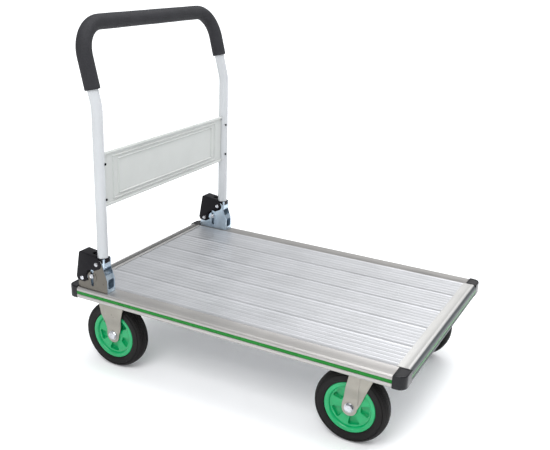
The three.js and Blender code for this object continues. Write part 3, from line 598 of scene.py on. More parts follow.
TREAD_DROP = 0.3  # the CAD's own step between the tread and the top of a plank
BEAD_WIDTH = 4.2
BEAD_HEIGHT = 0.42
BEAD_HALF = [(0.2, 0.9), (0.5, 0.5), (0.8, 0.1), (1.0, 0.0)]
BEAD_SHAPE = [(-u, v) for u, v in reversed(BEAD_HALF)] + BEAD_HALF
JOINT_HALF = 2.5
JOINT_CROWN = 1.7  # width of the raised part of a joint, on each plank
JOINT_HEIGHT = 0.45
PLANK_PITCH = 15.6
PLANK_EDGE = 0.6


def bead(centre, surface):
    return [(centre + u * BEAD_WIDTH / 2, surface + v * BEAD_HEIGHT) for u, v in BEAD_SHAPE]


def plank_section(low, high):
    """The tread of a plank: narrow beads between the raised halves of its joints, and a grooved underside."""
    surface = high.z - TREAD_DROP
    crown = surface + JOINT_HEIGHT
    gaps = max(2, round((high.y - low.y) / PLANK_PITCH))
    pitch = (high.y - low.y) / gaps
    section = [(low.y, crown), (low.y + JOINT_CROWN, crown - 0.05), (low.y + JOINT_HALF, surface)]
    for i in range(1, gaps):
        section += bead(low.y + i * pitch, surface)
    section += [(high.y - JOINT_HALF, surface), (high.y - JOINT_CROWN, crown - 0.05), (high.y, crown)]
    section += [(high.y, low.z + PLANK_EDGE), (high.y - PLANK_EDGE, low.z)]
    for share in (2 / 3, 1 / 3):
        y = low.y + (high.y - low.y) * share
        section += [(y + 1.5, low.z), (y + 1.0, low.z + 0.8), (y - 1.0, low.z + 0.8), (y - 1.5, low.z)]
    return section + [(low.y + PLANK_EDGE, low.z), (low.y, low.z + PLANK_EDGE)]


for node in (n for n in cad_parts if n.startswith("deck_plank_")):
    low, high = span(node)
    piece = prism(node + "_extrusion", plank_section(low, high), low.x, high.x, "X", ALUMINIUM_X)
    keep(piece, "platform", "deck_aluminium", node)

STRIPE_GAP = 0.3
STRIPE_SEAT = 2.0  # depth of the slot that holds the stripe
STRIPE_DEPTH = 1.7
LOWER_ROUND = 6.0
GROOVE_DEPTH = 0.45
GROOVE_HALF = 0.6
FINE_LINE = 0.9  # half width and depth of the end rail's fine grooves
REAR_LINES = (27.0, 21.0, 16.5)  # where they lie on the handle end's rail, from its face


def downward(centre, radius, start, end, steps):
    """An arc gone through from its end back to its start."""
    return list(reversed(arc(centre, radius, start, end, steps)))


def face_groove(face, z):
    half, base, foot = GROOVE_HALF, GROOVE_HALF * 0.4, face - GROOVE_DEPTH
    return [(face, z + half), (foot, z + base), (foot, z - base), (face, z - half)]


def striped_face(outer, low, stripe_low, stripe_high, upper_groove, lower_grooves):
    """Downward: a groove, the stripe's slot, the lower grooves and the rounded lower edge."""
    top, bottom = stripe_high.z + STRIPE_GAP, stripe_low.z - STRIPE_GAP
    section = face_groove(outer, stripe_high.z + upper_groove)
    section += [(outer, top), (outer - STRIPE_SEAT, top), (outer - STRIPE_SEAT, bottom), (outer, bottom)]
    for drop in lower_grooves:
        section += face_groove(outer, stripe_low.z - drop)
    return section + downward((outer - LOWER_ROUND, low.z + LOWER_ROUND), LOWER_ROUND, -90, 0, 8)


def side_rail_section(inner, outer, low, high, stripe_low, stripe_high, _sign):
    """Measured outward: the flat top, a rounded upper edge, the striped face and the lower lip."""
    top, lip = high.z, outer - 14
    section = [(inner, top - 22.3), (inner, top - 0.1), (inner + 0.4, top + 0.25), (inner + 2.0, top + 0.25)]
    section += [(inner + 2.8, top - 0.15), (lip - 4, top - 0.15)]
    section += downward((outer - 6, top - 6), 6, 0, 90, 8)
    section += striped_face(outer, low, stripe_low, stripe_high, 1.8, (1.8,))
    return section + [(lip, low.z), (lip, top - 22)]


def end_rail_section(inner, outer, low, high, stripe_low, stripe_high, sign):
    """Measured outward: the flange over the planks, the rounded edge, the striped face and the foot."""
    top, web = high.z, outer - 8
    section = [(inner, top - 1.4), (inner, top - 0.5), (inner + 0.4, top - 0.1), (inner + 1.6, top - 0.1)]
    section += [(inner + 2.2, top - 0.45), (outer - 14.2, top - 0.45), (outer - 13.4, top)]
    for line in REAR_LINES if sign < 0 else ():
        x = outer - line
        section += [(x - FINE_LINE, top), (x, top - FINE_LINE), (x + FINE_LINE, top)]
    section += downward((outer - 11.4, top - 11.4), 11.4, 0, 90, 14)
    section += striped_face(outer, low, stripe_low, stripe_high, 1.6, (1.6, 4.0))
    return section + [(outer - 29, low.z), (outer - 29, low.z + 2), (web, low.z + 2), (web, top - 1.4)]


def crowned(outer, stripe_low, stripe_high):
    """The stripe's section: a soft crown over its groove."""
    base = outer - STRIPE_DEPTH
    low, high = stripe_low.z, stripe_high.z
    mid, half = (low + high) / 2, (high - low) / 2
    face = []
    for i in range(9):
        t = -1 + i / 4
        edge = 0.35 if abs(t) == 1 else 0
        face.append((outer - 0.55 * t * t - edge, mid + half * t))
    return [(base, high), (base, low)] + face


def edge_rail(kind, name, sign, across, run, section, material):
    """A rail and its stripe; across and run are the numbers of the axes that they face and run along."""
    rail, stripe = f"{kind}_rail_{name}", f"{kind}_stripe_{name}"
    low, high = span(rail)
    stripe_low, stripe_high = span(stripe)
    inner, outer = sorted((abs(low[across]), abs(high[across])))
    shape = section(inner, outer, low, high, stripe_low, stripe_high, sign)
    cover = crowned(outer, stripe_low, stripe_high)
    axis = "XYZ"[run]
    piece = prism(rail + "_extrusion", mirror_section(shape, sign), low[run], high[run], axis, material)
    keep(piece, "platform", "deck_aluminium", rail)
    piece = prism(stripe + "_insert", mirror_section(cover, sign), low[run], high[run], axis, GREEN_STRIPE)
    keep(piece, "platform", "green_stripe", stripe)


for side_name, side in SIDES.items():
    edge_rail("side", side_name, side, 1, 0, side_rail_section, SIDE_ALUMINIUM)
for end_name, end in ENDS.items():
    edge_rail("end", end_name, end, 0, 1, end_rail_section, ALUMINIUM_Y)

CAP_CORNER = 19
CAP_WIDTH = 43.7
CAP_LENGTH = 29.7
CAP_EDGE = 3.4
CAP_RIM = 1.6  # flat rim round the cap's top
CAP_SLOPE = 1.1
CAP_DIP = 0.9


def corner_cap(node, end, side):
    low, high = span(node)
    outer_x = high.x if end > 0 else -low.x
    outer_y = high.y if side > 0 else -low.y
    inner_x, inner_y = outer_x - CAP_LENGTH, outer_y - CAP_WIDTH
    outline = [(inner_x, inner_y), (outer_x, inner_y)]
    outline += arc((outer_x - CAP_CORNER, outer_y - CAP_CORNER), CAP_CORNER, 0, 90, 14) + [(inner_x, outer_y)]
    outline = [(a * end, b * side) for a, b in outline]
    shell = plate(node + "_moulding", [outline], low.z, high.z, "Z", BLACK_PLASTIC, edge=CAP_EDGE, steps=5)
    bm = bmesh.new()
    bm.from_mesh(shell.data)
    top = [f for f in bm.faces if f.normal.z > 0.999 and f.calc_center_median().z > (high.z - 0.05) * MM]
    for width, depth in ((CAP_RIM, 0.0), (CAP_SLOPE, -CAP_DIP)):
        bmesh.ops.inset_region(bm, faces=top, thickness=width * MM, depth=depth * MM, use_even_offset=True)
    bm.to_mesh(shell.data)
    bm.free()
    shaded(shell.data)
    return shell


for end_name, end in ENDS.items():
    for side_name, side in SIDES.items():
        node = f"corner_cap_{end_name}_{side_name}"
        keep(corner_cap(node, end, side), "platform", "black_plastic", node)

# ---------- handle ----------

TUBE_RADIUS = 13.5
TUBE_Y = 283.0
BEND_HEIGHT = 692.5
BEND_ANGLE = math.radians(14)
BEND_RADIUS = 90.0
SLANT = 193.7
CORNER_RADIUS = 75.0
GRIP_RADIUS = 19.0
GRIP_ROUND = 2.6
GRIP_NEAR = 152.0  # how far the sleeve reaches down each leg
GRIP_FAR = 126.0

tube_low, tube_high = span("handle_tube")
tube_x = tube_high.x - TUBE_RADIUS
slant = Vector((-math.sin(BEND_ANGLE), 0, math.cos(BEND_ANGLE)))
across = Vector((0, 1, 0))
top_bar = Vector((tube_x, 0, BEND_HEIGHT)) + slant * SLANT


def turn_points(start, first, second, radius, steps):
    """Points on an arc that starts along one direction and ends along another."""
    angle = first.angle(second)
    inward = (second - first * math.cos(angle)).normalized()
    turns = [angle * i / steps for i in range(steps + 1)]
    return [start + first * (radius * math.sin(a)) + inward * (radius * (1 - math.cos(a))) for a in turns]


def corner_points():
    start = top_bar - slant * CORNER_RADIUS
    start.y = -TUBE_Y
    return turn_points(start, slant, across, CORNER_RADIUS, 18)


def far_side(points):
    return [Vector((p.x, -p.y, p.z)) for p in reversed(points)]


def between(first, last, steps):
    return [first.lerp(last, i / steps) for i in range(1, steps)]


reach = BEND_RADIUS * math.tan(BEND_ANGLE / 2)
bottom = Vector((tube_x, -TUBE_Y, tube_low.z))
bend_start = Vector((tube_x, -TUBE_Y, BEND_HEIGHT - reach))
lower_bend = turn_points(bend_start, Vector((0, 0, 1)), slant, BEND_RADIUS, 8)
near_leg = [bottom] + between(bottom, lower_bend[0], 12) + lower_bend + corner_points()
tube_path = near_leg + far_side(near_leg)
tube = sweep("handle_tube_steel", tube_path, TUBE_RADIUS, WHITE_PAINT, sides=40)
keep(tube, "handle", "white_paint", "handle_tube")


def leg_point(distance):
    point = top_bar - slant * distance
    point.y = -TUBE_Y
    return point


def grip_half(length):
    first = leg_point(length)
    corner = corner_points()
    return [first] + between(first, corner[0], 12) + corner


near, far = grip_half(GRIP_NEAR), far_side(grip_half(GRIP_FAR))
grip_path = near + between(near[-1], far[0], 40) + far


def rounded_ends(points):
    """The sleeve's path with close steps at its ends, and radii that round the ends over."""
    first = (points[1] - points[0]).normalized()
    last = (points[-1] - points[-2]).normalized()
    head, tail, end_sizes = [], [], []
    for i in range(6):
        a = math.radians(90 * i / 5)
        step = GRIP_ROUND * (1 - math.cos(a))
        head.append(points[0] + first * step)
        tail.append(points[-1] - last * step)
        end_sizes.append(GRIP_RADIUS - GRIP_ROUND + GRIP_ROUND * math.sin(a))
    end_sizes = [TUBE_RADIUS + 0.2] + end_sizes
    path = [points[0]] + head + points[1:-1] + tail[::-1] + [points[-1]]
    return path, end_sizes + [GRIP_RADIUS] * (len(points) - 2) + end_sizes[::-1]


def grip_skin(sizes, path):
    """Foam is never quite even: the radius varies a little along the sleeve."""
    made = []
    for size, s in zip(sizes, along(path)):
        wave = 0.12 * math.sin(s / 31.0) + 0.08 * math.sin(s / 13.0 + 1.0)
        made.append(size + (wave - 0.2 if size > TUBE_RADIUS + 1 else 0))
    return made


path, sizes = rounded_ends(grip_path)
grip = sweep("foam_grip_sleeve", path, grip_skin(sizes, path), GRIP_FOAM, 48)
keep(grip, "handle", "grip_foam", "foam_grip")

# back panel

panel_low, panel_high = span("back_panel")
PANEL_CURL = 4.0
PANEL_SHEET = 1.2
TAB_REACH = 13.0
TAB_INSET = 9.0
FRAME_INSETS = ((13.0, 34.0), (22.0, 54.0))  # from the long edges, from the ends
FRAME_WIDTH = 3.6
FRAME_RISE = 3.0
panel_half = TUBE_Y - TUBE_RADIUS - 0.3


def frame_rise(y, z):
    """Height of the pressed frames at a point of the sheet."""
    rise = 0.0
    for inset, end_inset in FRAME_INSETS:
        from_side = panel_half - end_inset - abs(y)
        from_low = z - panel_low.z - inset
        from_high = panel_high.z - inset - z
        distance = min(from_side, from_low, from_high)
        centre = FRAME_WIDTH / 2
        off = abs(distance - centre) / (FRAME_WIDTH * 0.62)
        if off < 1:
            rise = max(rise, FRAME_RISE * (0.5 + 0.5 * math.cos(math.pi * off)))
    return rise


def stops(low, high, marks, coarse):
    """Grid lines: half a millimetre apart round the marks, wide apart elsewhere."""
    lines = {round(low, 3), round(high, 3)}
    for mark in marks:
        near = [mark + offset / 2 for offset in range(-8, 9)]
        lines.update(round(line, 3) for line in near if low < line < high)
    ordered = sorted(lines)
    filled = [ordered[0]]
    for value in ordered[1:]:
        gap = value - filled[-1]
        count = max(1, math.ceil(gap / coarse))
        start = filled[-1]
        filled += [start + gap * (k + 1) / count for k in range(count)]
    return filled


def panel_sheet():
    marks_z = [panel_low.z + i + FRAME_WIDTH / 2 for i, _ in FRAME_INSETS]
    marks_z += [panel_high.z - i - FRAME_WIDTH / 2 for i, _ in FRAME_INSETS]
    marks_y = [s * (panel_half - i - FRAME_WIDTH / 2) for s in (-1, 1) for _, i in FRAME_INSETS]
    ys = stops(-panel_half, panel_half, marks_y, 24)
    zs = stops(panel_low.z + PANEL_CURL, panel_high.z - PANEL_CURL, marks_z, 12)
    face = tube_x + PANEL_SHEET / 2
    back = tube_x - PANEL_SHEET / 2
    bm = bmesh.new()
    grids = []
    for base in (face, back):
        grids.append([[bm.verts.new(Vector((base + frame_rise(y, z), y, z)) * MM) for y in ys] for z in zs])
    for grid in grids:
        for i in range(len(zs) - 1):
            for j in range(len(ys) - 1):
                bm.faces.new((grid[i][j], grid[i][j + 1], grid[i + 1][j + 1], grid[i + 1][j]))
    front, rear = grids
    for j in range(len(ys) - 1):
        for i in (0, -1):
            bm.faces.new((front[i][j], front[i][j + 1], rear[i][j + 1], rear[i][j]))
    for i in range(len(zs) - 1):
        for j in (0, -1):
            bm.faces.new((front[i][j], front[i + 1][j], rear[i + 1][j], rear[i][j]))
    return from_bmesh("panel_sheet", bm, GREY_PAINT)


def panel_roll(name, z):
    """A rolled edge: a tube of the panel's own sheet, open at both ends."""
    outer, inner, half = PANEL_CURL, PANEL_CURL - PANEL_SHEET, panel_half
    profile = [(outer, -half), (outer, half), (outer - 0.3, half), (inner, half), (inner, -half)]
    return lathe(name, profile, (tube_x, 0, z), GREY_PAINT, "Y", 28)


def panel_tab(side):
    """The end flange, turned back behind the tube."""
    back = tube_x - TUBE_RADIUS - 0.3 - PANEL_SHEET
    front = tube_x + PANEL_SHEET / 2
    inner, outer = panel_half - PANEL_SHEET, panel_half + TAB_REACH
    corners = [(front, panel_half), (front, inner), (back, inner)]
    corners += [(back, outer), (back + PANEL_SHEET, outer), (back + PANEL_SHEET, panel_half)]
    outline = rounded(corners, [0.4, 0.4, 1.2, 0.5, 0.5, 0.1], 3)
    outline = mirror_heights(outline, side)
    low, high = panel_low.z + TAB_INSET, panel_high.z - TAB_INSET
    return plate("panel_tab", [outline], low, high, "Z", GREY_PAINT, edge=0.25, steps=1)


panel_parts = [panel_sheet(), panel_roll("low_roll", panel_low.z + PANEL_CURL)]
panel_parts += [panel_roll("high_roll", panel_high.z - PANEL_CURL), panel_tab(-1), panel_tab(1)]
keep(joined("back_panel_pressing", panel_parts), "handle", "grey_paint", "back_panel")


def pan_head(name, centre, axis, direction, radius, height, material):
    """A domed screw or rivet head with a turned-down rim."""
    profile = [(AXIS_GAP, 0.0), (radius, 0.0), (radius, height * 0.35)]
    for i in range(1, 8):
        a = math.radians(90 * i / 8)
        profile.append((radius * math.cos(a) * 0.98, height * (0.35 + 0.65 * math.sin(a))))
    profile.append((AXIS_GAP, height))
    return lathe(name, mirror_heights(profile, direction), centre, material, axis, 32)


for level in ("lower", "upper"):
    for side_name, side in SIDES.items():
        node = f"panel_screw_{level}_{side_name}"
        low, high = span(node)
        mid = (low + high) / 2
        head = pan_head("head", (high.x - 1.6, mid.y, mid.z), "X", 1, 3.5, 1.6, BLACK_PAINT)
        cross = []
        for half_y, half_z in ((0.45, 1.9), (1.9, 0.45)):
            arm = rectangle(mid.y - half_y, mid.y + half_y, mid.z - half_z, mid.z + half_z)
            start, end = high.x - 0.9, high.x + 0.6
            cross.append(plate("arm", [arm], start, end, "X", BLACK_PAINT, edge=0.05, steps=0))
        cut(head, *cross)
        shank = lathe("shank", rod(2, 0, high.x - 1.7 - low.x), (low.x, mid.y, mid.z), BLACK_PAINT, "X", 20)
        keep(joined(node + "_pan_head", [head, shank]), "handle", "bright_steel", node)

# ---------- hinge brackets, feet and locks ----------

PIVOT = (-362.0, 300.0)
STOP_PIN = (-409.0, 255.0)
LOCK_X = -378.0
LOCK_Z = 265.5
SHOE_HEIGHT = 12.0
SOCKET_GAP = 0.3  # under the tube
SOCKET_RADIUS = 22.0
NOSE_GAP = 4.3  # from the lock pin's middle to the socket's nose
SLOT_LOW, SLOT_HIGH, SLOT_HALF = 237.0, 287.0, 4.25
CHEEK_OUTER = 15.8
CHEEK_INNER = 14.0
FOOT_OUTER = 17.9
FOOT_INNER = 16.1
BRACKET_BASE = span("hinge_bracket_right")[0].z
SHEET_METAL = 1.8
BRACKET_FLOOR = BRACKET_BASE + SHEET_METAL
NOSE_X = -331.0
NOSE_BEND = BRACKET_BASE + 34
NOSE_TOP = 274.0
NOSE_TIP = (-349.0, 309.0)
NOSE_RUN = (NOSE_TIP[0] - NOSE_X) / (NOSE_TIP[1] - NOSE_BEND)
THROUGH = 30.0  # half length of a cutter that passes through a whole bracket
RING_RADIUS = 14.2
WELD_Z = 248.5


def cheek_outline():
    points = [(-424, BRACKET_BASE), (NOSE_X, BRACKET_BASE), (NOSE_X, NOSE_BEND), NOSE_TIP]
    points += arc(PIVOT, 12.5, 60, 171, 10)
    points += [(-375, 290), (-385, 260.7), (-422, 244.7), (-424, BRACKET_BASE + 14)]
    return points


def slot_outline():
    points = arc((LOCK_X, SLOT_HIGH - SLOT_HALF), SLOT_HALF, 0, 180, 10)
    return points + arc((LOCK_X, SLOT_LOW + SLOT_HALF), SLOT_HALF, 180, 360, 10)


def nose_x(z):
    return NOSE_X + max(0, z - NOSE_BEND) * NOSE_RUN


def slot_cutter(y):
    return cutter(slot_outline(), y - THROUGH, y + THROUGH, "Y", ZINC)


def hinge_bracket(side):
    y = side * TUBE_Y
    body = plate("bracket", [cheek_outline()], y - CHEEK_OUTER, y + CHEEK_OUTER, "Y", ZINC, edge=1.1, steps=3)
    low_nose, high_nose = nose_x(0) - SHEET_METAL, nose_x(NOSE_TOP) - SHEET_METAL
    room = [(-440, BRACKET_FLOOR), (low_nose, BRACKET_FLOOR), (low_nose, NOSE_BEND), (high_nose, NOSE_TOP)]
    room += [(-300, NOSE_TOP), (-300, 340), (-440, 340)]
    inside = plate("room", [room], y - CHEEK_INNER, y + CHEEK_INNER, "Y", ZINC, edge=0.3, steps=1)
    window = rounded(rectangle(y - 11, y + 11, 236.5, 262), 4.5)
    cut(body, inside, slot_cutter(y), cutter(window, NOSE_X - 12, NOSE_X + 5, "X", ZINC))
    parts = [body]
    for face in (-1, 1):
        start, end = sorted((y + face * (CHEEK_OUTER - 0.3), y + face * (CHEEK_OUTER + 0.9)))
        disc = circle((LOCK_X, LOCK_Z - 3), RING_RADIUS, 40)
        ring = plate("ring", [disc], start, end, "Y", ZINC, edge=0.45, steps=2)
        parts.append(cut(ring, slot_cutter(y)))
    for face in (-1, 1):
        start = (NOSE_X - 12, y + face * CHEEK_OUTER, WELD_Z)
        parts.append(pan_head("weld", start, "Y", face, 2.3, 0.9, ZINC))
    return joined("hinge_bracket", parts)


def foot_outline():
    corners = [(-364, 320), (-416, 327), (-428, 256), (-424, 247), (-402, 245), (-395, 262)]
    points = rounded(corners, [0, 6, 5, 4, 2, 0], 4)[:-1]
    notch = arc((LOCK_X, LOCK_Z), 17, 228.6, 63, 16)
    front = arc(PIVOT, 14, -72, 54, 12)
    return points + notch + front


def folding_foot(side):
    y = side * TUBE_Y
    body = plate("foot", [foot_outline()], y - FOOT_OUTER, y + FOOT_OUTER, "Y", BLACK_PAINT, edge=1.3, steps=3)
    room = [(-414.2, 325.2), (-426.2, 256), (-426.2, 235), (-322, 235), (-322, 318.2), (-364, 318.2)]
    inside = plate("room", [room], y - FOOT_INNER, y + FOOT_INNER, "Y", BLACK_PAINT, edge=0.6, steps=2)
    hole = lathe("hole", rod(TUBE_RADIUS + 0.5, 0, 25), (tube_x, y, tube_low.z), BLACK_PAINT, "Z", 40)
    relief = cutter(rounded(rectangle(-384, -371, y - 6, y + 6), 3), 312, 335, "Z", BLACK_PAINT)
    return cut(body, inside, hole, relief)


def tube_socket(side):
    """A round plug on the pivot, with a nose over the lock pin and a collar inside the tube."""
    y = side * TUBE_Y
    top = tube_low.z - SOCKET_GAP
    radius, nose = SOCKET_RADIUS, math.hypot(LOCK_X - PIVOT[0], LOCK_Z - PIVOT[1]) - NOSE_GAP
    aim = 360 + math.degrees(math.atan2(LOCK_Z - PIVOT[1], LOCK_X - PIVOT[0]))
    tip = math.degrees(0.3)
    points = [(PIVOT[0] - radius, top)]
    points += arc(PIVOT, radius, 180, aim - 2 * tip, 8)
    points += arc(PIVOT, nose, aim - tip, aim + tip, 5)
    points += arc(PIVOT, radius, aim + 2 * tip, 360, 12)
    points += [(PIVOT[0] + radius, top)]
    body = plate("socket", [points], y - 13.5, y + 13.5, "Y", ZINC, edge=0.8, steps=2)
    profile = [(AXIS_GAP, -1), (12.6, -1), (12.6, 0), (11.2, 0), (11.2, 3), (AXIS_GAP, 3)]
    return joined("tube_socket", [body, lathe("collar", profile, (tube_x, y, top), ZINC, "Z", 36)])


def tube_shoe(side):
    """The black shoe round the top of the socket, under the tube."""
    y = side * TUBE_Y
    top = tube_low.z - SOCKET_GAP
    outline = rounded(rectangle(PIVOT[0] - 21, PIVOT[0] + 22.5, y - 13.8, y + 13.8), [1, 6, 6, 1], 5)
    return plate("shoe", [outline], top - SHOE_HEIGHT, top + 0.2, "Z", BLACK_PAINT, edge=0.5, steps=2)


def foot_pin(side, place):
    """A pin through the folding foot's cheeks, riveted over at both ends."""
    y = side * TUBE_Y
    face = FOOT_OUTER + 0.2
    parts = [lathe("shank", rod(4, -face, face), (place[0], y, place[1]), STEEL, "Y", 24)]
    for end in (-1, 1):
        centre = (place[0], y + end * face, place[1])
        parts.append(pan_head("head", centre, "Y", end, 5.5, 2.5, STEEL))
    return joined("foot_pin", parts)


LOCK_HEAD = [(AXIS_GAP, 0), (5.4, 0), (6, 0.5), (6, 1.9), (5.3, 2.6)]
LOCK_HEAD += [(3.4, 2.7), (3.0, 2.2), (1.2, 2.2), (0.8, 2.9), (AXIS_GAP, 3.0)]


def lock_pin(side):
    """The pin that the locking slots hold, with a dished head at each end."""
    y = side * TUBE_Y
    face = CHEEK_OUTER + 1.3
    parts = [lathe("shank", rod(4, -face, face), (LOCK_X, y, LOCK_Z), STEEL, "Y", 24)]
    for end in (-1, 1):
        profile = mirror_heights(LOCK_HEAD, end)
        parts.append(lathe("head", profile, (LOCK_X, y + end * face, LOCK_Z), STEEL, "Y", 32))
    return joined("lock_pin", parts)


COIL_RADIUS = 4.8
COIL_WIRE = 0.7
COIL_TURNS = 5
COIL_STEPS = 150


def lock_spring(side, node):
    y = side * TUBE_Y
    low, high = span(node)
    bottom, top = low.z + COIL_WIRE, high.z - COIL_WIRE
    points = []
    for i in range(COIL_STEPS + 1):
        t = i / COIL_STEPS
        a = TAU * COIL_TURNS * t
        u, v = COIL_RADIUS * math.cos(a), COIL_RADIUS * math.sin(a)
        points.append((LOCK_X + u, y + v, bottom + (top - bottom) * t))
    return sweep("lock_spring", points, COIL_WIRE, STEEL, sides=10)


def bracket_bolt(x, y):
    """A button-head bolt on the bracket's floor, with its socket."""
    head = pan_head("bolt", (x, y, BRACKET_FLOOR), "Z", 1, 6.5, 3.6, STEEL)
    socket = circle((x, y), 2.6, 6)
    socket = plate("hex", [socket], BRACKET_FLOOR + 1.4, BRACKET_FLOOR + 6, "Z", STEEL, edge=0.02, steps=0)
    return cut(head, socket)


BRACKET_BOLTS = (-408.0, -348.0)


def named(piece, name):
    piece.name = name
    return piece


for side_name, side in SIDES.items():
    hinge_pieces = (
        ("hinge_bracket", "pressing", hinge_bracket(side), "platform", "zinc_plate"),
        ("folding_foot", "channel", folding_foot(side), "handle", "black_paint"),
        ("tube_socket", "insert", tube_socket(side), "handle", "zinc_plate"),
        ("tube_shoe", None, tube_shoe(side), "handle", "black_paint"),  # not a node of the CAD
        ("pivot_pin", "riveted", foot_pin(side, PIVOT), "handle", "bright_steel"),
        ("stop_pin", "riveted", foot_pin(side, STOP_PIN), "handle", "bright_steel"),
        ("lock_pin", "headed", lock_pin(side), f"lock_{side_name}", "bright_steel"),
    )
    for kind, form, piece, body, slot in hinge_pieces:
        node = f"{kind}_{side_name}"
        if form:
            keep(named(piece, f"{node}_{form}"), body, slot, node)
        else:
            keep(named(piece, node), body, slot)
    node = f"lock_spring_{side_name}"
    spring = keep(named(lock_spring(side, node), node + "_coil"), "platform", "bright_steel", node)
    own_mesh(spring)
    for i, x in enumerate(BRACKET_BOLTS):
        bolt = named(bracket_bolt(x, side * TUBE_Y), f"bracket_bolt_{side_name}_{i + 1}")
        keep(bolt, "platform", "bright_steel")

# ---------- casters ----------

WHEEL_RADIUS = 90.0
RIM_RADIUS = 62.7
AXLE_Z = 90.0
PLATE_SHEET = 4.0
PLATE_HALF = (55, 45)
PLATE_HOLES = (43, 33)
PLATE_CORNERS = ((-1, -1), (-1, 1), (1, -1), (1, 1))
BOLT_ROUND = ((-1, -1), (1, -1), (1, 1), (-1, 1))  # the same corners, in the order the bolts are numbered
WASHER = 1.6
LEG_OUTER = 27.0
LEG_LOW_OUTER = 19.0
SHEET = 2.7
RUN_START, RUN_END = 60.0, 20.0  # the legs draw in between these heights over the axle
LEG_STEP = 3.4
BEND = 6.0
CROWN_STOPS = (17.0, 12.0, 6.0)
BAND_EDGE = 17.5  # the raised band's straight edge
BAND_FLARE = 6.5
BAND_HEIGHT = 110.0
END_RADIUS = 18.0
END_CENTRE = -2.0
PRESS_DEPTH = 3.4
PRESS_RUN = 2.4


def hex_head(name, centre, direction, width, height, material, turn=0.0):
    """A hexagon head along Y with its chamfered crown."""
    sides = 48
    flat = width / 2 * math.cos(math.pi / 6)
    reach = flat * 0.98
    dome = 0.62 * reach

    def ring(y, limit, chamfer=0.0, turn=turn):
        points = []
        for i in range(sides):
            a = TAU * i / sides
            corner = flat / math.cos((a % (TAU / 6)) - math.pi / 6)
            radius = corner if chamfer else min(corner, limit)
            drop = max(0.0, corner - limit) * chamfer
            x, z = radius * math.cos(a + turn), radius * math.sin(a + turn)
            points.append((centre[0] + x, centre[1] + (y - drop) * direction, centre[2] + z))
        return points

    rings = [ring(0.0, width), ring(height - 0.2, reach, chamfer=0.577), ring(height, reach * 0.97)]
    return from_grid(name, rings + [ring(height, dome, turn=0.0)], material)


def leg_edges(z, lean, top_z, top, waist, waist_z):
    """Left and right edge of a fork leg at a height over the axle."""
    if z >= waist_z:
        t = (z - waist_z) / (top_z - waist_z)
        waist_centre = lean * waist_z / top_z
        centre = waist_centre + (lean - waist_centre) * t
        half = waist / 2 + (top - waist) / 2 * t
    elif z >= END_CENTRE:
        t = (z - END_CENTRE) / (waist_z - END_CENTRE)
        centre = lean * waist_z / top_z * t
        half = END_RADIUS + (waist / 2 - END_RADIUS) * t
    else:
        centre = 0.0
        half = math.sqrt(max(0.0, END_RADIUS**2 - (z - END_CENTRE) ** 2))
    return centre - half, centre + half


def leg_rows(top_z):
    """From the axle up to the crown: height, width, height on the leg, and the sheet's facing in Y and Z."""
    drop = END_RADIUS - 0.15
    heights = [END_CENTRE - drop * math.cos(math.radians(90 * i / 7)) for i in range(8)]
    z = END_CENTRE
    while z < top_z - BEND - 3:
        z += LEG_STEP
        heights.append(z)
    rows = []
    for z in heights:
        run = smooth_step((z - RUN_END) / (RUN_START - RUN_END))
        rows.append((z, LEG_LOW_OUTER + (LEG_OUTER - LEG_LOW_OUTER) * run, z, 1.0, 0.0))
    for i in range(7):
        a = math.radians(90 * i / 6)
        z = top_z - BEND + BEND * math.sin(a)
        rows.append((z, LEG_OUTER - BEND + BEND * math.cos(a), min(z, top_z), math.cos(a), math.sin(a)))
    return rows + [(top_z, y, top_z, 0.0, 1.0) for y in CROWN_STOPS]


def fork_legs(origin, lean, top_z, top, waist, waist_z, band):
    """One pressed sheet: up one leg, over the crown and down the other, with a raised band on each leg."""
    rows = leg_rows(top_z)
    full = [(z, -y, leg_z, -ny, nz) for z, y, leg_z, ny, nz in rows] + [(top_z, 0.0, top_z, 0.0, 1.0)]
    full += rows[::-1]
    columns = 44
    bm = bmesh.new()
    grid = []
    for z, y, leg_z, ny, nz in full:
        left, right = leg_edges(leg_z, lean, top_z, top, waist, waist_z)
        low, high = band(leg_z, left, right)
        strength = smooth_step((leg_z + 2) / 16)
        line = []
        for j in range(columns + 1):
            x = left + (right - left) * j / columns
            outside = max(low - x, x - high, 0.0)
            press = PRESS_DEPTH * smooth_step(outside / PRESS_RUN) * strength * (1 - nz)
            point = Vector((x, y - ny * press, z - nz * press))
            line.append(bm.verts.new((Vector(origin) + point) * MM))
        grid.append(line)
    for low, high in zip(grid, grid[1:]):
        for j in range(columns):
            bm.faces.new((low[j], low[j + 1], high[j + 1], high[j]))
    welded(bm)
    crown = max(bm.faces, key=lambda f: f.calc_center_median().z)
    if crown.normal.z < 0:
        bmesh.ops.reverse_faces(bm, faces=bm.faces)
    sheet = link("legs", into_mesh("legs", bm), FORK_STEEL)
    solid = sheet.modifiers.new("sheet", "SOLIDIFY")
    solid.thickness = SHEET * MM
    solid.offset = -1
    modified(sheet)
    return bevelled(sheet, 0.5, 60)


def mount_plate(x, y, low, high):
    """A caster's plate with its four slots."""
    half_x, half_y = PLATE_HALF
    loops = [rounded(rectangle(x - half_x, x + half_x, y - half_y, y + half_y), 9)]
    for dx, dy in PLATE_CORNERS:
        cx, cy = x + dx * PLATE_HOLES[0], y + dy * PLATE_HOLES[1]
        loops.append(arc((cx + 2.5, cy), 4.6, -90, 90, 8) + arc((cx - 2.5, cy), 4.6, 90, 270, 8))
    return plate("mount_plate", loops, low, high, "Z", FORK_STEEL, edge=0.8, steps=2)


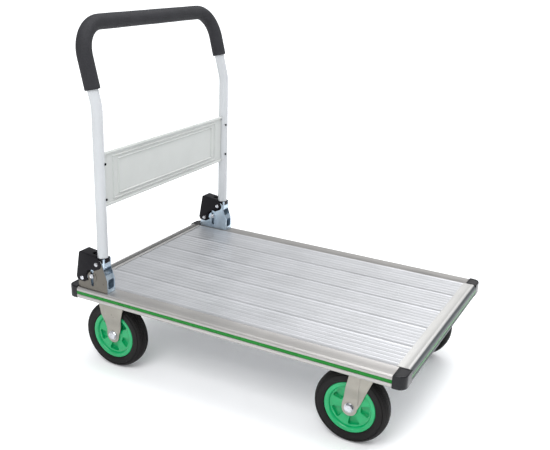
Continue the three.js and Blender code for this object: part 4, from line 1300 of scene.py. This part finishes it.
def plate_bolts(prefix, x, y, plate_low):
    """Hexagon bolts up through the plate's four slots, each on a washer."""
    profile = [(AXIS_GAP, 0), (8.0, 0), (8.4, -0.4), (8.4, -1.2), (8.0, -WASHER), (AXIS_GAP, -WASHER)]
    downward_turn = Matrix.Rotation(math.radians(-90), 4, "X")
    for i, (dx, dy) in enumerate(BOLT_ROUND):
        cx, cy = x + dx * PLATE_HOLES[0], y + dy * PLATE_HOLES[1]
        washer = lathe("washer", profile, (cx, cy, plate_low), STEEL, "Z", 36)
        head = hex_head("head", (0, 0, 0), 1, 13.6, 5.2, STEEL, 0.3 * i)
        seat = Matrix.Translation(Vector((cx, cy, plate_low - WASHER)) * MM)
        head.data.transform(seat @ downward_turn)
        keep(joined(f"{prefix}_bolt_{i + 1}", [washer, head]), "platform", "bright_steel")


def fixed_band(_z, _left, right):
    """Where the raised band of a fixed fork's leg starts and ends."""
    return -BAND_EDGE, right + 1.0


def swivel_band(z, left, _right):
    return left - 1.0, BAND_EDGE + BAND_FLARE * max(0.0, min(1.0, z / BAND_HEIGHT))


def axle_bolt(node, x, y, turn):
    """The axle with a washer and a hexagon at each end."""
    face = LEG_LOW_OUTER + 0.2
    thick = 1.4
    washer = [(AXIS_GAP, 0), (11.6, 0), (12.0, 0.3), (12.0, 1.1), (11.6, thick), (AXIS_GAP, thick)]
    parts = []
    for end in (-1, 1):
        seat = (x, y + end * face, AXLE_Z)
        parts.append(lathe("washer", mirror_heights(washer, end), seat, STEEL, "Y", 40))
        parts.append(hex_head("head", (x, y + end * (face + thick), AXLE_Z), end, 21.5, 4.9, STEEL, turn))
    parts.append(lathe("shank", rod(5, -face, face), (x, y, AXLE_Z), STEEL, "Y", 28))
    return joined(node + "_hexagon", parts)


def tyre_profile(radius, half, bore):
    """The tyre's section: bead, bulged wall, shoulder line and ribbed tread."""
    wall = [
        (0.1, 3.0), (0.6, 1.9), (2.2, 1.5), (3.4, 0.6), (6.5, 0.1), (10.5, 0.0), (14.0, 0.2), (16.4, 0.7),
        (16.9, 2.2), (17.9, 2.2), (18.3, 0.8), (19.0, 1.2),
    ]
    tread = [
        (5.6, 2.4), (4.2, 3.8), (3.2, 5.2), (4.6, 5.7), (4.4, 6.9), (2.2, 7.6), (1.3, 10.2), (2.8, 10.8),
        (2.6, 12.2), (0.7, 12.8), (0.2, 15.6), (1.9, 16.2), (1.8, 17.4), (0.1, 18.0),
    ]
    side = [(bore + rise, half - inset) for rise, inset in wall]
    return both_sides(side + [(radius - drop, half - inset) for drop, inset in tread])


def rim_profile(half, face):
    """The rim's section: hub boss, recessed disc and rounded outer lip."""
    return both_sides([
        (11.3, face - 0.4), (11.7, face), (18.6, face), (19.4, face - 0.5), (20.4, face - 2.6),
        (23.0, face - 3.2), (48.2, face - 3.0), (49.8, face - 2.4), (51.2, face + 1.4), (52.6, half - 0.8),
        (54.0, half - 0.1),
        (56.0, half), (60.0, half), (61.6, half - 0.4), (62.5, half - 1.6), (62.6, half - 3.2),
    ])


POCKETS = 5
POCKET_SPREAD = math.degrees(0.34)
POCKET_INNER, POCKET_OUTER = 26.0, 48.5
WEB_HALF = 3.0  # half thickness of the disc left between the pockets of the two faces


def rim_pocket(middle_angle):
    """The outline of a pocket: a sector with rounded corners, a little narrower towards the hub."""
    inner_spread = POCKET_SPREAD * 0.8
    corners = ((POCKET_INNER, -inner_spread), (POCKET_OUTER, -POCKET_SPREAD))
    corners += ((POCKET_OUTER, POCKET_SPREAD), (POCKET_INNER, inner_spread))
    points = []
    for radius, offset in corners:
        a = math.radians(middle_angle + offset)
        points.append((radius * math.cos(a), radius * math.sin(a)))
    return rounded(points, [2.5, 4, 4, 2.5], 4)


def wheel(name, phase):
    """Tyre, rim and bush of one wheel; gives the place of its axle."""
    body = f"wheel_{name}"
    node = f"tyre_{name}"
    low, high = span(node)
    x, y = middle(node).xy
    centre = (x, y, AXLE_Z)
    profile = tyre_profile(WHEEL_RADIUS, (high.y - low.y) / 2, RIM_RADIUS + 0.2)
    keep(lathe(node + "_ribbed", profile, centre, TYRE_RUBBER, "Y", 128), body, "tyre_rubber", node)
    node = f"wheel_rim_{name}"
    low, high = span(node)
    half = (high.y - low.y) / 2
    rim = lathe(node + "_moulding", rim_profile(half, half - 4), centre, GREEN_RIM, "Y", 120)
    pockets = []
    for i in range(POCKETS):
        outline = [(x + a, AXLE_Z + b) for a, b in rim_pocket(phase + 360 / POCKETS * i)]
        for start, end in ((y + WEB_HALF, y + half + 5), (y - half - 5, y - WEB_HALF)):
            pockets.append(plate("pocket", [outline], start, end, "Y", GREEN_RIM, edge=0.9, steps=2))
    cut(rim, *pockets)
    keep(bevelled(rim, 0.5, 50), body, "green_rim", node)
    node = f"wheel_bush_{name}"
    low, high = span(node)
    h = (high.y - low.y) / 2
    profile = [(5.3, -h), (8.5, -h), (9.0, -h + 0.5), (9.0, -h + 1.2), (10.9, -h + 1.4), (10.9, h - 1.4)]
    profile += [(9.0, h - 1.2), (9.0, h - 0.5), (8.5, h), (5.3, h)]
    keep(lathe(node + "_turned", profile, centre, BUSH_NYLON, "Y", 48), body, "bush_nylon", node)
    return x, y


def swivel_top(node, x, y):
    """The top plate with its ball race and kingpin."""
    low, high = span(node)
    plate_low = high.z - PLATE_SHEET
    top_plate = mount_plate(x, y, plate_low, high.z)
    race = [(AXIS_GAP, 0.3), (31.0, 0.3), (32.0, -0.6), (32.0, -3.4)]
    race += [(30.2, -4.7), (27.5, -4.9), (AXIS_GAP, -4.9)]
    race = lathe("race", race, (x, y, plate_low), FORK_STEEL, "Z", 72)
    end = low.z - plate_low
    pin = [(AXIS_GAP, -4), (7.9, -4), (7.9, end + 3), (11.2, end + 3), (12, end + 2.3), (12, end + 1.2)]
    pin += [(10.6, end + 0.2), (8, end), (AXIS_GAP, end)]
    pin = lathe("pin", pin, (x, y, plate_low), STEEL, "Z", 48)
    return joined(node + "_pressing", [top_plate, race, pin]), plate_low


def fixed_caster(side_name, phase):
    x, y = wheel(f"rear_{side_name}", phase)
    node = f"fixed_fork_{side_name}"
    high = span(node)[1]
    plate_low = high.z - PLATE_SHEET
    top = mount_plate(x, y, plate_low, high.z)
    legs = fork_legs((x, y, AXLE_Z), 0.0, plate_low - AXLE_Z - 0.05, 92, 50, 25, fixed_band)
    keep(joined(node + "_pressing", [top, legs]), "platform", "fork_steel", node)
    plate_bolts(f"fixed_plate_{side_name}", x, y, plate_low)
    node = f"axle_bolt_rear_{side_name}"
    keep(axle_bolt(node, x, y, 0.35), "platform", "bright_steel", node)


def swivel_caster(side_name, phase):
    node = f"swivel_plate_{side_name}"
    axis = middle(node)
    piece, plate_low = swivel_top(node, axis.x, axis.y)
    keep(piece, "platform", "fork_steel", node)
    plate_bolts(f"swivel_plate_{side_name}", axis.x, axis.y, plate_low)
    x, y = wheel(f"front_{side_name}", phase)
    node = f"swivel_fork_{side_name}"
    top = span(node)[1].z
    legs = fork_legs((x, y, AXLE_Z), axis.x - x, top - 3.5 - AXLE_Z, 60, 40, 8, swivel_band)
    cut(legs, lathe("bore", rod(8.4, -12, 12), (axis.x, axis.y, top), FORK_STEEL, "Z", 40))
    race = [(8.5, 0), (30.4, 0), (32, -0.8), (32, -2.4), (29.0, -5.0), (27.0, -7.4), (8.5, -7.4)]
    race = lathe("race", race, (axis.x, axis.y, top), FORK_STEEL, "Z", 72)
    keep(joined(node + "_pressing", [legs, race]), f"swivel_{side_name}", "fork_steel", node)
    node = f"axle_bolt_front_{side_name}"
    keep(axle_bolt(node, x, y, 0.12), f"swivel_{side_name}", "bright_steel", node)


REAR_PHASES = {"right": -21.0, "left": 12.0}  # how far each wheel is turned, in degrees
FRONT_PHASES = {"right": -3.0, "left": 33.0}

for side_name in SIDES:
    fixed_caster(side_name, REAR_PHASES[side_name])
    swivel_caster(side_name, FRONT_PHASES[side_name])

# ---------- floor, light and camera ----------

FLOOR_HALF = 40.0  # metres, as are the glow's distances and the lights' places
FLOOR_GLOW = (0.1, 0.75)
GLOW_FROM, GLOW_TO = 1.0, 5.0

floor_mesh = bpy.data.meshes.new("floor")
bm = bmesh.new()
bmesh.ops.create_grid(bm, x_segments=1, y_segments=1, size=FLOOR_HALF)
bm.to_mesh(floor_mesh)
bm.free()
floor_finish = Finish("floor", specular=0.1)
floor_tone = floor_finish.noise(1.3, 2.0, 0.5)
floor_finish.colour(floor_finish.blend(floor_tone, srgb(0.972, 0.974, 0.978), srgb(0.982, 0.984, 0.986)))
floor_finish.shader.inputs["Roughness"].default_value = 0.8
floor_finish.shader.inputs["Emission Color"].default_value = (0.99, 0.995, 1.0, 1.0)
from_middle = floor_finish.node("ShaderNodeVectorMath", operation="LENGTH")
floor_finish.tree.links.new(floor_finish.object_coords, from_middle.inputs[0])
glow = floor_finish.spread(from_middle.outputs["Value"], GLOW_FROM, GLOW_TO, *FLOOR_GLOW)
floor_finish.tree.links.new(glow, floor_finish.shader.inputs["Emission Strength"])
floor_mesh.materials.append(floor_finish.material)
floor = bpy.data.objects.new("floor", floor_mesh)
bpy.context.scene.collection.objects.link(floor)

world = bpy.data.worlds.new("studio")
bpy.context.scene.world = world
world.use_nodes = True
studio = world.node_tree
background = studio.nodes["Background"]
sky_direction = studio.nodes.new("ShaderNodeTexCoord").outputs["Generated"]
split = studio.nodes.new("ShaderNodeSeparateXYZ")
studio.links.new(sky_direction, split.inputs["Vector"])
ramp = studio.nodes.new("ShaderNodeValToRGB")
studio.links.new(split.outputs["Z"], ramp.inputs["Fac"])
SKY_TONES = ((0.0, 0.22), (0.22, 0.40), (0.5, 0.62), (1.0, 0.95))
while len(ramp.color_ramp.elements) < len(SKY_TONES):
    ramp.color_ramp.elements.new(0.5)
for element, (place, tone) in zip(ramp.color_ramp.elements, SKY_TONES):
    element.position = place
    element.color = (tone * 0.96, tone * 0.98, tone, 1.0)
studio.links.new(ramp.outputs["Color"], background.inputs["Color"])
background.inputs["Strength"].default_value = 1.0


def soft_light(name, place, target, size, power, colour=(1.0, 1.0, 1.0)):
    data = bpy.data.lights.new(name, "AREA")
    data.shape = "RECTANGLE"
    data.size, data.size_y = size
    data.energy = power
    data.color = colour
    lamp = bpy.data.objects.new(name, data)
    lamp.location = place
    lamp.rotation_mode = "QUATERNION"
    lamp.rotation_quaternion = (Vector(target) - Vector(place)).to_track_quat("-Z", "Y")
    bpy.context.scene.collection.objects.link(lamp)


soft_light("key", (0.4, -2.3, 2.6), (0.1, 0, 0.2), (1.8, 1.3), 58)
soft_light("top", (0.6, 0.7, 3.4), (0.1, 0, 0.2), (3.0, 3.0), 106, (0.985, 0.99, 1.0))
soft_light("back", (-0.6, 5.2, 3.0), (0.2, 0, 0.2), (3.2, 1.6), 11, (1.0, 0.975, 0.95))

CAMERA_PLACE = (865.7, -1709.1, 1057.7)
CAMERA_TURN = (27.41, 19.31, 2.03)  # azimuth, elevation and roll in degrees

camera_data = bpy.data.cameras.new("camera")
camera_data.sensor_width = 36.0
camera_data.lens = 51.65
camera_data.clip_start = 0.05
camera_data.clip_end = 120.0
camera = bpy.data.objects.new("camera", camera_data)
bpy.context.scene.collection.objects.link(camera)
azimuth, elevation, roll = (math.radians(v) for v in CAMERA_TURN)
forward = Vector((
    -math.sin(azimuth) * math.cos(elevation),
    math.cos(azimuth) * math.cos(elevation),
    -math.sin(elevation),
))
level_right = Vector((math.cos(azimuth), math.sin(azimuth), 0.0))
level_up = level_right.cross(forward)
right = level_right * math.cos(roll) + level_up * math.sin(roll)
up = level_up * math.cos(roll) - level_right * math.sin(roll)
turn = Matrix((right, up, -forward)).transposed()
camera.matrix_world = Matrix.Translation(Vector(CAMERA_PLACE) * MM) @ turn.to_4x4()
bpy.context.scene.camera = camera
bpy.context.scene.view_settings.view_transform = "Standard"
bpy.context.scene.view_settings.look = "None"
